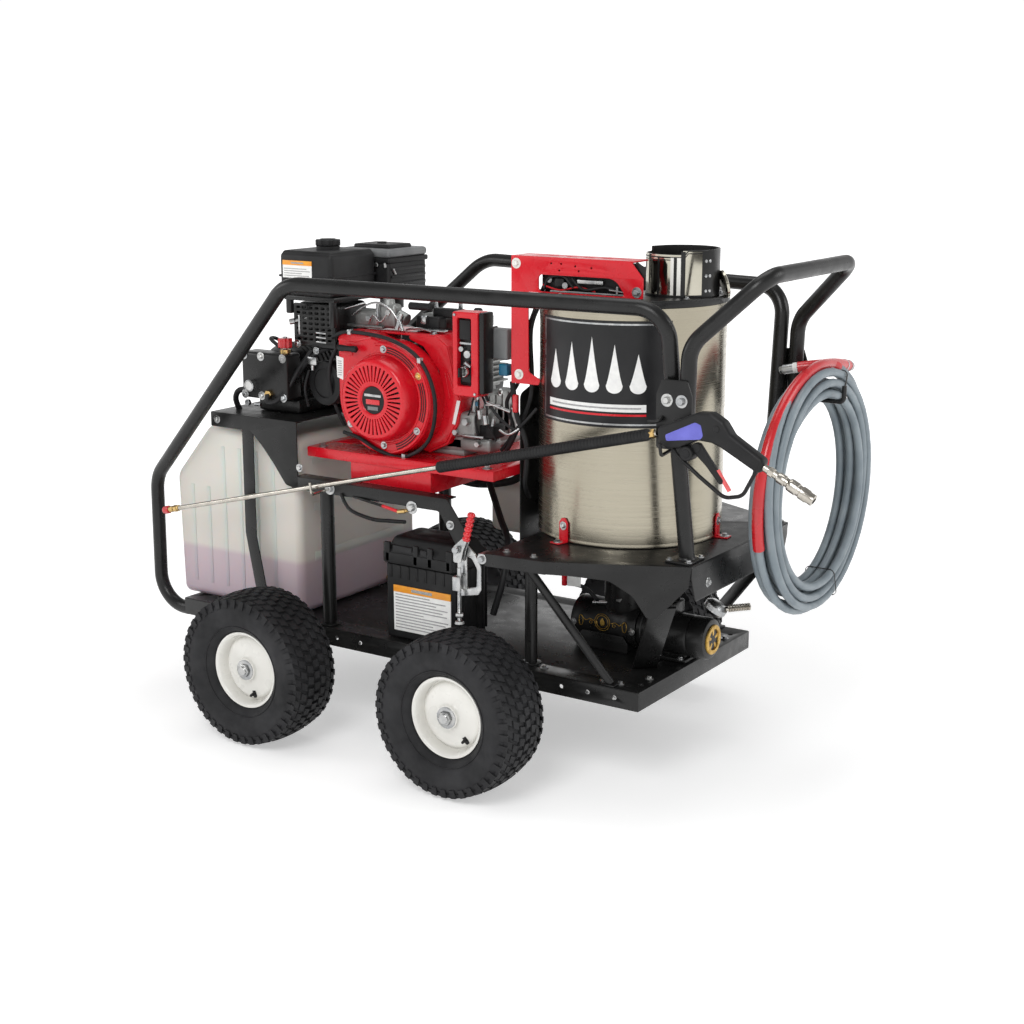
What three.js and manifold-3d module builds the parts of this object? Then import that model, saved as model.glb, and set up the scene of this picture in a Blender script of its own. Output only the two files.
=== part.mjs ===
// Hot-water pressure washer on four pneumatic wheels.
// Millimetres, +Z up, +X towards the push handle, -Y the side where the gun hangs.
// The origin is on the ground, under the middle of the machine.
import * as THREE from 'three';
import { mergeVertices } from 'three/addons/utils/BufferGeometryUtils.js';
import Module from 'manifold-3d';

const wasm = await Module();
wasm.setup();

// ---- driving dimensions ----
const GAP = 0.3;                                   // between pieces that touch
const TYRE = { radius: 203, width: 165, bead: 103 };
const WHEEL_X = { front: -473, rear: 172 };
const WHEEL_Y = 473.5;                             // middle of a tyre
const AXLE_RADIUS = 12.5;
const BASE = { left: -905, right: 571, half: 299, top: 276, depth: 48, sheet: 4 };
const DECK = { left: 215, right: 686, top: 595, skirt: 31, sheet: 4 };
const TUBE = 19;                                   // radius of the frame tubes
const COIL_TANK = { x: 371, radius: 232, wall: 4, bottom: 595 + GAP, top: 1172 };
const STACK = { x: 505, radius: 90, wall: 4, top: 1302 };
const ENGINE = { x: -242, z: 896, plate: 750 };
const PUMP = { x: -610, z: 930 };
const PULLEY = { engine: 56, pump: 92, y: 176, width: 26 };
const SHELF_TOP = 822;
const GUN_Y = -350;
const LANCE = { x0: -905, z0: 540, x1: 634, z1: 917, y0: -332, y1: -345 };
const BRAKE = { x: 150, y: -436, pivot: 599 };
const HOSE = { x: 772, y: 205, z: 703, radius: 268, band: 37, width: 80, turn: 2 };

// ---- geometry helpers ----
function toSolid(geometry) {
  const plain = geometry.clone();
  plain.deleteAttribute('normal');
  plain.deleteAttribute('uv');
  const merged = mergeVertices(plain, 1e-3);
  return new wasm.Manifold(new wasm.Mesh({
    numProp: 3,
    vertProperties: new Float32Array(merged.attributes.position.array),
    triVerts: new Uint32Array(merged.index.array),
  }));
}

function toGeometry(body) {
  const mesh = body.getMesh();
  const geometry = new THREE.BufferGeometry();
  geometry.setAttribute('position', new THREE.BufferAttribute(mesh.vertProperties, 3));
  geometry.setIndex(new THREE.BufferAttribute(mesh.triVerts, 1));
  return geometry;
}

const asSolid = (piece) => (piece.isBufferGeometry ? toSolid(piece) : piece);
const join = (first, ...rest) => rest.reduce((sum, piece) => sum.add(asSolid(piece)), asSolid(first));
const cut = (first, ...rest) => rest.reduce((sum, piece) => sum.subtract(asSolid(piece)), asSolid(first));

function box(x0, x1, y0, y1, z0, z1) {
  const [ya, yb] = [Math.min(y0, y1), Math.max(y0, y1)];
  return new THREE.BoxGeometry(x1 - x0, yb - ya, z1 - z0)
    .translate((x0 + x1) / 2, (ya + yb) / 2, (z0 + z1) / 2);
}

const point = (x, y, z) => new THREE.Vector3(x, y, z);

// a round bar from a to b
function rod(a, b, radius, sides = 12, radiusEnd = radius) {
  const along = b.clone().sub(a);
  const turn = new THREE.Quaternion().setFromUnitVectors(point(0, 1, 0), along.clone().normalize());
  return new THREE.CylinderGeometry(radiusEnd, radius, along.length(), sides)
    .applyQuaternion(turn).translate(...a.clone().add(b).multiplyScalar(0.5).toArray());
}

const rodX = (x0, x1, y, z, radius, sides) => rod(point(x0, y, z), point(x1, y, z), radius, sides);
const rodY = (y0, y1, x, z, radius, sides) => rod(point(x, y0, z), point(x, y1, z), radius, sides);
const rodZ = (z0, z1, x, y, radius, sides) => rod(point(x, y, z0), point(x, y, z1), radius, sides);

// a flat bar of the given width and thickness from a to b; its width lies along the side vector
function bar(a, b, width, thickness, side) {
  const along = b.clone().sub(a);
  const z = along.clone().normalize();
  const y = z.clone().cross(side).normalize();
  const x = y.clone().cross(z);
  const place = new THREE.Matrix4().makeBasis(x, y, z).setPosition(a.clone().add(b).multiplyScalar(0.5));
  return new THREE.BoxGeometry(width, thickness, along.length()).applyMatrix4(place);
}

// an outline in X and Z, extruded from y0 to y1
function plateXZ(outline, y0, y1) {
  const [ya, yb] = [Math.min(y0, y1), Math.max(y0, y1)];
  const shape = new THREE.Shape(outline.map(([x, z]) => new THREE.Vector2(x, z)));
  return new THREE.ExtrudeGeometry(shape, { depth: yb - ya, bevelEnabled: false })
    .rotateX(Math.PI / 2).translate(0, yb, 0);
}

// an outline in X and Y, extruded from z0 to z1
function plateXY(outline, z0, z1) {
  const shape = new THREE.Shape(outline.map(([x, y]) => new THREE.Vector2(x, y)));
  return new THREE.ExtrudeGeometry(shape, { depth: z1 - z0, bevelEnabled: false }).translate(0, 0, z0);
}

// a body of revolution about the Z axis; the profile holds [radius, height]
function turned(profile, sides) {
  const points = profile.map(([r, h]) => new THREE.Vector2(r, h));
  if (THREE.ShapeUtils.area(points) < 0) points.reverse();
  return new THREE.LatheGeometry(points, sides).rotateX(Math.PI / 2);
}

const aboutY = (geometry, x, y, z) => geometry.rotateX(-Math.PI / 2).translate(x, y, z);

// a tube's centreline: straight runs between corners, with round bends
class TubeRun extends THREE.Curve {
  constructor(corners, bends, arcStep = Math.PI / 8) {
    super();
    this.stations = [];
    const last = corners.length - 1;
    const way = corners.slice(1).map((c, i) => c.clone().sub(corners[i]).normalize());
    this.addStation(corners[0], way[0]);
    for (let i = 1; i < last; i++) {
      const turn = way[i - 1].angleTo(way[i]);
      const radius = bends[i - 1];
      const toCentre = way[i].clone().sub(way[i - 1]).normalize();
      const centre = corners[i].clone().addScaledVector(toCentre, radius / Math.cos(turn / 2));
      const start = corners[i].clone().addScaledVector(way[i - 1], -radius * Math.tan(turn / 2));
      const axis = way[i - 1].clone().cross(way[i]).normalize();
      const steps = Math.max(2, Math.ceil(turn / arcStep));
      for (let k = 0; k <= steps; k++) {
        const angle = turn * k / steps;
        const at = start.clone().sub(centre).applyAxisAngle(axis, angle).add(centre);
        this.addStation(at, way[i - 1].clone().applyAxisAngle(axis, angle));
      }
    }
    this.addStation(corners[last], way[last - 1]);
  }
  addStation(at, direction) { this.stations.push({ at: at.clone(), direction: direction.clone() }); }
  get steps() { return this.stations.length - 1; }
  station(u) { return this.stations[Math.round(u * this.steps)]; }
  getPoint(u) { return this.station(u).at.clone(); }
  getPointAt(u) { return this.getPoint(u); }
  getTangent(u) { return this.station(u).direction.clone(); }
  getTangentAt(u) { return this.getTangent(u); }
}

function roundSection(radius, sides) {
  const ring = [];
  for (let i = 0; i < sides; i++) {
    const a = 2 * Math.PI * i / sides;
    ring.push(new THREE.Vector2(radius * Math.cos(a), radius * Math.sin(a)));
  }
  return new THREE.Shape(ring);
}

function pipe(corners, bends, radius, sides = 12) {
  const extrudePath = new TubeRun(corners.map((c) => point(...c)), bends);
  return new THREE.ExtrudeGeometry(roundSection(radius, sides),
    { steps: extrudePath.steps, extrudePath, bevelEnabled: false });
}

// the outline of a belt round two pulleys, grown by a margin
function beltOutline(margin) {
  const [ax, az, ra] = [ENGINE.x, ENGINE.z, PULLEY.engine + margin];
  const [bx, bz, rb] = [PUMP.x, PUMP.z, PULLEY.pump + margin];
  const way = Math.atan2(bz - az, bx - ax);
  const lean = Math.acos((ra - rb) / Math.hypot(bx - ax, bz - az));
  const outline = [];
  const arc = (x, z, r, from, to) => {
    for (let i = 0; i <= 10; i++) {
      const a = from + (to - from) * i / 10;
      outline.push([x + r * Math.cos(a), z + r * Math.sin(a)]);
    }
  };
  arc(ax, az, ra, way + lean, way + 2 * Math.PI - lean);
  arc(bx, bz, rb, way - lean, way + lean);
  return outline;
}

// ---- materials and the assembly ----
const finish = (color, roughness, metalness) => ({ color, roughness, metalness });
const BLACK = finish(0x1a1a1b, 0.4, 0.3);
const PLASTIC = finish(0x17181a, 0.5, 0);
const RED = finish(0xb51219, 0.35, 0.2);
const STEEL = finish(0xb3aea2, 0.3, 1);
const ZINC = finish(0xb9bdc0, 0.35, 1);
const ALLOY = finish(0x8f9294, 0.5, 0.9);
const CHROME = finish(0xd8d8d8, 0.08, 1);
const WHITE = finish(0xe9e8e2, 0.35, 0.1);
const RUBBER = finish(0x1c1c1c, 0.8, 0);
const POLY = finish(0xe6e4dc, 0.5, 0);
const BRASS = finish(0xb38b4a, 0.35, 1);
const HOSE_GREY = finish(0x8a9094, 0.6, 0);

const washer = new THREE.Group();

function add(name, piece, look) {
  const geometry = toGeometry(asSolid(piece));
  const mesh = new THREE.Mesh(geometry, new THREE.MeshStandardMaterial(look));
  mesh.name = name;
  washer.add(mesh);
}

// ---- base plate: a folded tray turned upside down ----
function basePlate() {
  const { left, right, half, top, depth, sheet } = BASE;
  let tray = cut(box(left, right, -half, half, top - depth, top),
    box(left + sheet, right - sheet, -half + sheet, half - sheet, top - depth - 1, top - sheet));
  for (const x of [-390, -350, -270, 250, 355, 430, 505]) {
    tray = cut(tray, rodY(-half - 5, half + 5, x, top - 24, 4.5, 6));
  }
  return tray;
}
add('base_plate', basePlate(), BLACK);

// ---- upper deck with its skirt, gussets and legs ----
function upperDeck() {
  const outline = (inset) => {
    const near = [[DECK.left + inset, -425 + inset], [378, -412 + inset],
      [DECK.right - inset, -265 + inset]];
    return [...near, ...near.map(([x, y]) => [x, -y]).reverse()];
  };
  const { top, skirt, sheet } = DECK;
  let deck = cut(plateXY(outline(0), top - skirt, top),
    plateXY(outline(sheet), top - skirt - 1, top - sheet),
    rodZ(top - skirt - 2, top + 2, COIL_TANK.x, 0, 70, 20));
  deck = join(deck, box(DECK.right - sheet, DECK.right, -258, 258, top - 92, top - skirt + 1));
  for (const side of [-1, 1]) {
    const gusset = plateXZ([[0, 0], [338, 0], [330, -50], [255, -131], [238, -125], [205, -75],
      [150, -40], [60, -32], [0, -30]], 0, sheet)
      .rotateZ(Math.atan2(147, 308)).translate(378, -412, top - 1);
    const legs = [
      bar(point(628, -283, 505), point(492, -130, BASE.top + 3), 62, 6, point(1, 0.9, 0)),
      rod(point(300, -395, top - 6), point(484, -281, BASE.top + 9), 11, 8),
      rodZ(BASE.top + GAP, top - 3, 236, -250, 16, 8),
    ];
    const half = [gusset, ...legs].map(toSolid);
    deck = join(deck, ...(side < 0 ? half : half.map((piece) => piece.mirror([0, 1, 0]))));
  }
  return cut(deck, box(-1000, 1000, -600, 600, 0, BASE.top + GAP));
}
add('upper_deck', upperDeck(), BLACK);

// ---- side hoops and push handle ----
function hoop(side) {
  const tube = pipe([[BASE.left - GAP, side * 280, 240], [-1013, side * 280, 240], [-1009, side * 281, 613],
    [-372, side * 438, 1203], [631, side * 308, 1190], [649, side * 215, 585]], [92, 90, 110, 78], TUBE);
  const trimmed = cut(tube, box(600, 700, side * 150, side * 300, 500, DECK.top + GAP));
  return join(trimmed, box(612, 678, side * 178, side * 262, DECK.top + GAP, DECK.top + 6));
}
add('hoop_near', hoop(-1), BLACK);
add('hoop_far', hoop(1), BLACK);
add('push_handle', pipe([[677, -291, 935], [681, -291, 1110], [841, -234, 1268], [841, 234, 1268],
  [681, 291, 1110], [677, 291, 935]], [80, 62, 62, 80], TUBE), BLACK);

function handleBracket(side) {
  return join(box(612, 702, side * 311, side * 316, 876, 1035),
    box(628, 652, side * 298.5, side * 312, 950, 1000),
    rodY(side * 315, side * 324, 677, 988, 11, 6),
    rodY(side * 315, side * 324, 640, 988, 11, 6));
}
add('handle_bracket_near', join(handleBracket(-1),
  pipe([[660, -312, 881], [660, -376, 873], [660, -384, 902]], [8], 4, 8)), BLACK);
add('handle_bracket_far', join(handleBracket(1), box(698, 704, 222, 316, 905, 931),
  pipe([[702, 236, 923.8], [834, 236, 923.8], [834, 236, 964]], [12], 6, 8)), BLACK);

// ---- side brackets round the diesel tank, with posts, straps and arms ----
function tankBracket(side) {
  const [inner, outer] = [side * 286, side * 290];
  const pieces = [
    plateXZ([[-783, 822], [-783, 782], [-640, 782], [-600, 745], [-560, 700], [-520, 648],
      [-478, 640], [-478, 822]], inner, outer),
    plateXZ([[-671, 790], [-671, 497], [-627, BASE.top + GAP], [-587, BASE.top + GAP], [-632, 490],
      [-632, 790]], inner, outer),
    plateXZ([[-500, 675], [-500, 641], [-16, 641], [40, 554], [66, 554], [66, 600], [10, 675]], inner, outer),
    box(-490, 8, side * 246, side * 288, 671, 675),
    rodZ(BASE.top + GAP, 672, -398, side * 266, TUBE, 10),
  ];
  return join(...pieces);
}
add('tank_bracket_near', join(tankBracket(-1),
  pipe([[-378, -288, 652], [-378, -352, 650], [-378, -358, 684]], [8], 3.5, 8)), BLACK);
const shelf = cut(box(-783, -482, -284, 288, SHELF_TOP - 4, SHELF_TOP), box(-730, -470, 157, 225, 800, 830));
add('tank_bracket_far', join(tankBracket(1), shelf), BLACK);

// ---- engine plate ----
add('engine_plate', cut(join(box(-480, 120, -245, 245, 724, ENGINE.plate),
  box(-335, -75, -242, 242, 668, 726)),
box(-476, 116, -241, 241, 720, ENGINE.plate - 4), box(-331, -79, -238, 238, 660, 730)), RED);

// ---- wheels and axles ----
function tyre() {
  const [r, h, bead] = [TYRE.radius, TYRE.width / 2, TYRE.bead];
  const half = [[bead, h * 0.55], [bead + 14, h * 0.8], [r - 62, h * 0.99], [r - 34, h],
    [r - 12, h * 0.86], [r, h * 0.62]];
  return turned([...half, ...half.map(([a, b]) => [a, -b]).reverse(), half[0]], 24);
}

function rim(outward) {
  const wide = TYRE.bead - 1;
  const profile = [[AXLE_RADIUS + 0.6, 48], [24, 48], [26, 22], [wide - 18, 30], [wide - 12, 54], [wide, 54],
    [wide, -54], [wide - 6, -54], [wide - 20, 16], [26, 10], [24, -48], [AXLE_RADIUS + 0.6, -48],
    [AXLE_RADIUS + 0.6, 48]];
  return turned(profile.map(([r, h]) => [r, h * outward]), 18);
}

for (const [end, x] of Object.entries(WHEEL_X)) {
  for (const [name, side] of [['near', -1], ['far', 1]]) {
    add(`tyre_${end}_${name}`, aboutY(tyre(), x, side * WHEEL_Y, TYRE.radius), RUBBER);
    add(`rim_${end}_${name}`, aboutY(rim(side), x, side * WHEEL_Y, TYRE.radius), WHITE);
  }
  const pieces = [rodY(-540, 540, x, TYRE.radius, AXLE_RADIUS, 12)];
  for (const side of [-1, 1]) {
    pieces.push(rodY(side * 524, side * 536, x, TYRE.radius, 19, 6));
    pieces.push(rodY(side * 410, side * 423, x, TYRE.radius, 20, 10));
    pieces.push(box(x - 22, x + 22, side * 240, side * 280, 188, BASE.top - BASE.sheet - GAP));
  }
  add(`${end}_axle`, join(...pieces), ZINC);
}

// ---- diesel tank: a hollow moulding with a filler neck on its sloping face ----
const onSlope = (piece) => piece.rotateY(-Math.atan2(151, 131)).translate(-893, 0, 701);
function dieselTank() {
  const outline = (t) => [[-951 + t, 277 + t], [-500 - t, 277 + t], [-500 - t, 775 - t],
    [-829 + t / 2, 775 - t], [-960 + t, 624 - t / 2]];
  const shell = cut(plateXZ(outline(0), -258, 258), plateXZ(outline(5), -253, 253));
  return cut(join(shell, onSlope(rodZ(-3, 14, 0, 0, 32, 16))), onSlope(rodZ(-20, 20, 0, 0, 26, 16)));
}
add('diesel_tank', dieselTank(), POLY);
add('diesel_cap', onSlope(rodZ(14 + GAP, 34, 0, 0, 42, 16)), PLASTIC);

// ---- engine ----
add('engine_block', cut(join(box(-365, -50, -128, 138, ENGINE.plate + GAP, 868),
  box(-300, -90, -34, 138, 900, 1098), rodY(130, 158, ENGINE.x, ENGINE.z, 60, 16)),
rodY(-140, 170, ENGINE.x, ENGINE.z, 17, 16)), ALLOY);

function crankshaft() {
  const wheel = rodY(-196, -152, ENGINE.x, ENGINE.z, 118, 24);
  const shaft = rodY(-200, 206, ENGINE.x, ENGINE.z, 14, 16);
  const pulley = rodY(PULLEY.y, PULLEY.y + PULLEY.width, ENGINE.x, ENGINE.z, PULLEY.engine - 1, 24);
  return join(wheel, shaft, pulley);
}
add('crankshaft', crankshaft(), ALLOY);

function shroud() {
  const { x, z } = ENGINE;
  const drum = join(rodY(-216, -147, x, z, 150, 28), box(x - 150, x, -216, -147, z + 40, z + 166));
  const cowl = join(box(x - 140, -72, -148, -38, 955, z + 166), box(x + 90, -72, -148, -38, 915, 1000));
  return cut(join(drum, cowl), rodY(-207, -146, x, z, 128, 24), box(x - 60, -78, -150, -37, 900, z + 160),
    rodY(-220, -200, x, z, 40, 16), box(x - 200, x + 200, -220, -30, 700, ENGINE.plate + GAP));
}
add('fan_shroud', shroud(), RED);
add('recoil_cover', cut(rod(point(ENGINE.x, -216 - GAP, ENGINE.z + 2), point(ENGINE.x, -264, ENGINE.z + 2),
  113, 28, 100), rodY(-215, -255, ENGINE.x, ENGINE.z + 2, 88, 20)), RED);
add('recoil_grip', join(box(-372, -312, -244, -226, 1012, 1030), rodY(-226, -217, -342, 1021, 6, 8)), PLASTIC);
add('muffler', join(box(-556, -415, -196, -48, 1010, 1128), rodY(-60, -44, -450, 1060, 14, 8)), BLACK);
add('air_cleaner', join(box(-520, -339, -58, 117, 1128, 1276), rodZ(1100, 1130, -400, 30, 34, 12)), PLASTIC);
add('petrol_tank', cut(join(box(-555, -378, -250, -64, 1148, 1268), rodZ(1262, 1274, -470, -150, 30, 16)),
  box(-549, -384, -244, -70, 1154, 1262), rodZ(1258, 1280, -470, -150, 24, 16)), PLASTIC);
add('petrol_cap', rodZ(1274 + GAP, 1294, -470, -150, 34, 16), PLASTIC);
add('switch_box', box(-34, 43, -200, -148, 922, 1134), RED);
add('ignition_key', join(rodY(-200 - GAP, -210, 4, 985, 14, 12), box(1, 7, -228, -208, 973, 997)), PLASTIC);
const lever = (x) => join(rodY(-30, -15, x, 1107.5, 9, 10), box(x - 5, x + 5, -30, -22, 1104, 1158));
add('throttle_lever', lever(-210), ZINC);
add('choke_lever', lever(-130), ZINC);

// ---- pump, belt and guard ----
add('pump_body', cut(join(box(-690, -545, -200, 60, SHELF_TOP + GAP, 862),
  rodY(-190, 120, PUMP.x, PUMP.z, 76, 20), box(-700, -540, -252, -188, 862, 992),
  rodY(-270, -250, -660, 900, 16, 10), rodZ(985, 1000, -570, -218, 14, 10)),
rodY(-100, 130, PUMP.x, PUMP.z, 17, 16)), BLACK);
add('pump_pulley', join(rodY(-90, 206, PUMP.x, PUMP.z, 14, 16),
  rodY(PULLEY.y, PULLEY.y + PULLEY.width, PUMP.x, PUMP.z, PULLEY.pump - 1, 28)), ALLOY);
add('unloader_knob', rodZ(1000 + GAP, 1034, -570, -218, 20, 12), RED);
add('drive_belt', cut(plateXZ(beltOutline(9), PULLEY.y + 4, PULLEY.y + 20),
  plateXZ(beltOutline(0.4), PULLEY.y + 3, PULLEY.y + 21)), RUBBER);
add('belt_guard', cut(plateXZ(beltOutline(26), 160, 222), plateXZ(beltOutline(22), 155, 218)), BLACK);

// ---- water heater ----
function tankShell() {
  const { radius, wall, bottom, top } = COIL_TANK;
  const inside = radius - wall;
  return turned([[75, bottom], [radius, bottom], [radius, top], [inside, top], [inside, bottom + wall],
    [75, bottom + wall], [75, bottom]], 40).translate(COIL_TANK.x, 0, 0);
}
add('coil_tank', tankShell(), STEEL);

class Helix extends THREE.Curve {
  getPoint(t) {
    const a = 2 * Math.PI * 5 * t;
    return point(COIL_TANK.x + 175 * Math.cos(a), 175 * Math.sin(a), 650 + 440 * t);
  }
}
add('heating_coil', new THREE.ExtrudeGeometry(roundSection(14, 6),
  { steps: 60, extrudePath: new Helix(), bevelEnabled: false }), ZINC);
add('tank_lid', cut(turned([[0, COIL_TANK.top + GAP], [COIL_TANK.radius + 4, COIL_TANK.top + GAP],
  [COIL_TANK.radius + 4, 1184], [200, 1190], [0, 1190]], 40).translate(COIL_TANK.x, 0, 0),
rodZ(1160, 1200, STACK.x, 0, STACK.radius - 6, 24)), BLACK);
add('exhaust_stack', cut(rodZ(1190 + GAP, STACK.top, STACK.x, 0, STACK.radius, 28),
  rodZ(1180, STACK.top + 5, STACK.x, 0, STACK.radius - STACK.wall, 28),
  box(-60, 260, -120, 120, 0, 60).rotateY(-0.1).translate(STACK.x - 130, 0, 1284)), CHROME);

function controlBracket() {
  const front = plateXZ([[117, 962], [200, 962], [200, 986], [166, 990], [166, 1190], [486, 1190],
    [486, 1240], [460, 1277], [117, 1277]], -160, -156);
  const windowHole = plateXZ([[196, 1188], [196, 1222], [208, 1234], [410, 1234], [430, 1218],
    [440, 1188]], -165, -150);
  let bracket = join(cut(front, windowHole), box(117, 462, -158, -82, 1273, 1277));
  for (let i = 0; i < 4; i++) {
    bracket = cut(bracket, box(205 + 50 * i, 232 + 50 * i, -128, -118, 1270, 1280));
  }
  return bracket;
}
add('control_bracket', controlBracket(), RED);
add('control_box', box(190, 440, -150, -90, 1194, 1268), PLASTIC);
add('thermostat_knob', join(rodY(-90 + GAP, -76, 300, 1232, 18, 16),
  box(297, 303, -78, -72, 1216, 1248)), PLASTIC);

// ---- burner under the tank ----
const BURNER_Z = 338;
add('burner', join(rodX(229, 423, 0, BURNER_Z, 59, 24), box(262, 396, -44, 44, BASE.top + GAP, 300),
  rodZ(BURNER_Z, DECK.top - DECK.sheet - 2, COIL_TANK.x - 8, 0, 56, 20)), BLACK);
add('burner_motor', join(rodX(423 + GAP, 612, 0, BURNER_Z, 54, 24), rodX(610, 622, 0, BURNER_Z, 40, 20),
  box(470, 562, -46, 46, BASE.top + GAP, 302)), BLACK);

// ---- battery box ----
add('battery_box', cut(box(-205, 15, -270, -120, BASE.top + GAP, 478),
  box(-200, 10, -265, -125, 282, 480)), PLASTIC);
add('battery_lid', join(cut(box(-212, 22, -277, -113, 478 + GAP, 530), box(-207, 17, -272, -118, 470, 524)),
  box(-190, 0, -262, -128, 529, 548)), PLASTIC);

// ---- parking brake: a toggle clamp over the rear tyre ----
add('brake_mount', cut(join(
  plateXZ([[136, 476], [196, 488], [204, 500], [204, 560], [186, 590], [136, 612]], -424, -418),
  box(196, DECK.left - GAP, -424, -384, 566, 593), box(138, 162, -450, -423, 500, 530),
  rodY(-452, -423, BRAKE.x, BRAKE.pivot, 5, 8)),
plateXZ([[160, 505], [186, 510], [188, 550], [172, 568], [160, 570]], -430, -410),
rodZ(490, 540, BRAKE.x, BRAKE.y, 6, 10)), ZINC);
add('brake_plunger', join(rodZ(417, 553, BRAKE.x, BRAKE.y, 5, 10),
  rodZ(410.5, 419, BRAKE.x, BRAKE.y, 12, 12)), ZINC);
add('brake_lever', cut(join(
  plateXZ([[138, 566], [160, 566], [166, 596], [178, 622], [164, 628], [138, 604]], -444, -428),
  rod(point(169, BRAKE.y, 618), point(188, BRAKE.y, 692), 10, 10)),
rodY(-460, -420, BRAKE.x, BRAKE.pivot, 5.6, 8)), RED);

// ---- gun, lance and nozzle ----
const lanceAt = (t) => point(LANCE.x0 + (LANCE.x1 - LANCE.x0) * t, LANCE.y0 + (LANCE.y1 - LANCE.y0) * t,
  LANCE.z0 + (LANCE.z1 - LANCE.z0) * t);
const SLEEVE_FROM = 0.6;
add('lance', join(rod(lanceAt(0.006), lanceAt(1), 6.5, 10),
  rod(lanceAt(SLEEVE_FROM), lanceAt(0.985), 14.5, 12)), CHROME);
add('nozzle', rod(lanceAt(-0.02), lanceAt(0.0055), 11, 12), BRASS);

function gunBody() {
  const inlet = [point(892, GUN_Y, 873), point(957, GUN_Y, 841), point(1018, GUN_Y, 810)];
  return join(plateXZ([[638, 898], [640, 932], [700, 962], [760, 978], [800, 966], [812, 938], [908, 882],
    [890, 852], [790, 902], [742, 914], [700, 890], [660, 886]], GUN_Y - 17, GUN_Y + 17),
  pipe([[690, GUN_Y, 896], [742, GUN_Y, 836], [812, GUN_Y, 790], [856, GUN_Y, 806], [890, GUN_Y, 866]],
    [30, 30, 24], 5, 8),
  rod(inlet[0], inlet[1], 9, 10), rod(inlet[1], inlet[2], 15, 12));
}
const lanceSocket = rod(lanceAt(0.9), lanceAt(1.01), 15.2, 12);
add('gun_body', cut(gunBody(), lanceSocket, box(712, 760, GUN_Y - 9, GUN_Y + 9, 880, 930)), PLASTIC);
add('gun_trigger', join(rodY(GUN_Y - 7, GUN_Y + 7, 736, 896, 12, 10),
  bar(point(738, GUN_Y, 892), point(800, GUN_Y, 822), 14, 12, point(0, 1, 0))), PLASTIC);

// ---- high-pressure hose, coiled and hung on the far bracket's hook ----
const hoseTurn = THREE.MathUtils.degToRad(HOSE.turn);
const [hoseIn, hoseOut] = [HOSE.radius - HOSE.band, HOSE.radius + HOSE.band];
add('hose_coil', turned([[hoseIn, HOSE.width / 2], [hoseOut, HOSE.width / 2], [hoseOut, -HOSE.width / 2],
  [hoseIn, -HOSE.width / 2], [hoseIn, HOSE.width / 2]], 32)
  .rotateY(Math.PI / 2).rotateZ(-hoseTurn).translate(HOSE.x, HOSE.y, HOSE.z), HOSE_GREY);
add('hose_fitting', rod(point(668, 243, 990), point(700, 247, 997), 11, 8), ZINC);

export default washer;
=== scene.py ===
"""Hot-water pressure washer on four wheels: the visual model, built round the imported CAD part.

Shapes are made in millimetres in the part's own frame: +Z up, +X towards the push handle, -Y the
side where the gun hangs. Piece.done() turns them into metres.
"""

import math

import bmesh
import bpy
import numpy as np
from mathutils import Matrix, Vector


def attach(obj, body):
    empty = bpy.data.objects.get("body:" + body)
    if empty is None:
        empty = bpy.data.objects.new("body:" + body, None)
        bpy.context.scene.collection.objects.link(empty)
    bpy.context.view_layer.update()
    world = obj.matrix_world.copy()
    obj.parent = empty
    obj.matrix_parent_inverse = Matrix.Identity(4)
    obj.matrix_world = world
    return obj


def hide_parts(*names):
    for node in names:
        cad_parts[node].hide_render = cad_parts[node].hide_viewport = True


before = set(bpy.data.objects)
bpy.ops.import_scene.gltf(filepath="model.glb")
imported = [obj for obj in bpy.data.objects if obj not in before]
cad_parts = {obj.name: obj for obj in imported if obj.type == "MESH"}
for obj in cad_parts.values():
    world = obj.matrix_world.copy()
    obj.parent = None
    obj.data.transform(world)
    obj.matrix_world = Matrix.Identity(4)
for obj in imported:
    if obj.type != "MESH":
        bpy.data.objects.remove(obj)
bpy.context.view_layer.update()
scene = bpy.context.scene


# ---- shapes: (vertices in millimetres, faces) ----
def placed(shape, at=(0, 0, 0), z=(0, 0, 1), x=(1, 0, 0)):
    """Moves a shape made round the origin to a point, turned so that its Z and X follow z and x."""
    z = Vector(z).normalized()
    x = Vector(x)
    if abs(z.dot(x.normalized())) > 0.999:
        x = Vector((0, 1, 0))
    y = z.cross(x).normalized()
    turn = np.array([y.cross(z), y, z])
    return shape[0] @ turn + np.array(at, float), shape[1]


def upright(shape, at=(0, 0, 0), along=(1, 0, 0)):
    """Stands a flat shape up: its X lies along a level direction and its Y points up."""
    d = Vector((along[0], along[1], 0)).normalized()
    return placed(shape, at, (d.y, -d.x, 0), d)


def mirrored(shape):
    """The same shape on the other side, at +Y instead of -Y."""
    return shape[0] * np.array([1, -1, 1]), [tuple(reversed(f)) for f in shape[1]]


def lathe(profile, sides=64, closed=False):
    """A body of revolution about Z; the profile holds (radius, height)."""
    verts, faces, rings = [], [], []
    for r, h in profile:
        count = 1 if r < 1e-6 else sides
        rings.append(range(len(verts), len(verts) + count))
        verts += [(r * math.cos(2 * math.pi * k / sides), r * math.sin(2 * math.pi * k / sides), h)
                  for k in range(count)]
    pairs = list(zip(rings, rings[1:])) + ([(rings[-1], rings[0])] if closed else [])
    for a, b in pairs:
        for k in range(sides):
            j = (k + 1) % sides
            face = list(dict.fromkeys((a[k % len(a)], a[j % len(a)], b[j % len(b)], b[k % len(b)])))
            if len(face) > 2:
                faces.append(tuple(face))
    return np.array(verts, float), faces


def turned(profile, sides, at, axis=(0, 0, 1), closed=False):
    """A body of revolution that starts at a point and stands along an axis."""
    return placed(lathe(profile, sides, closed), at, axis)


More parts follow.
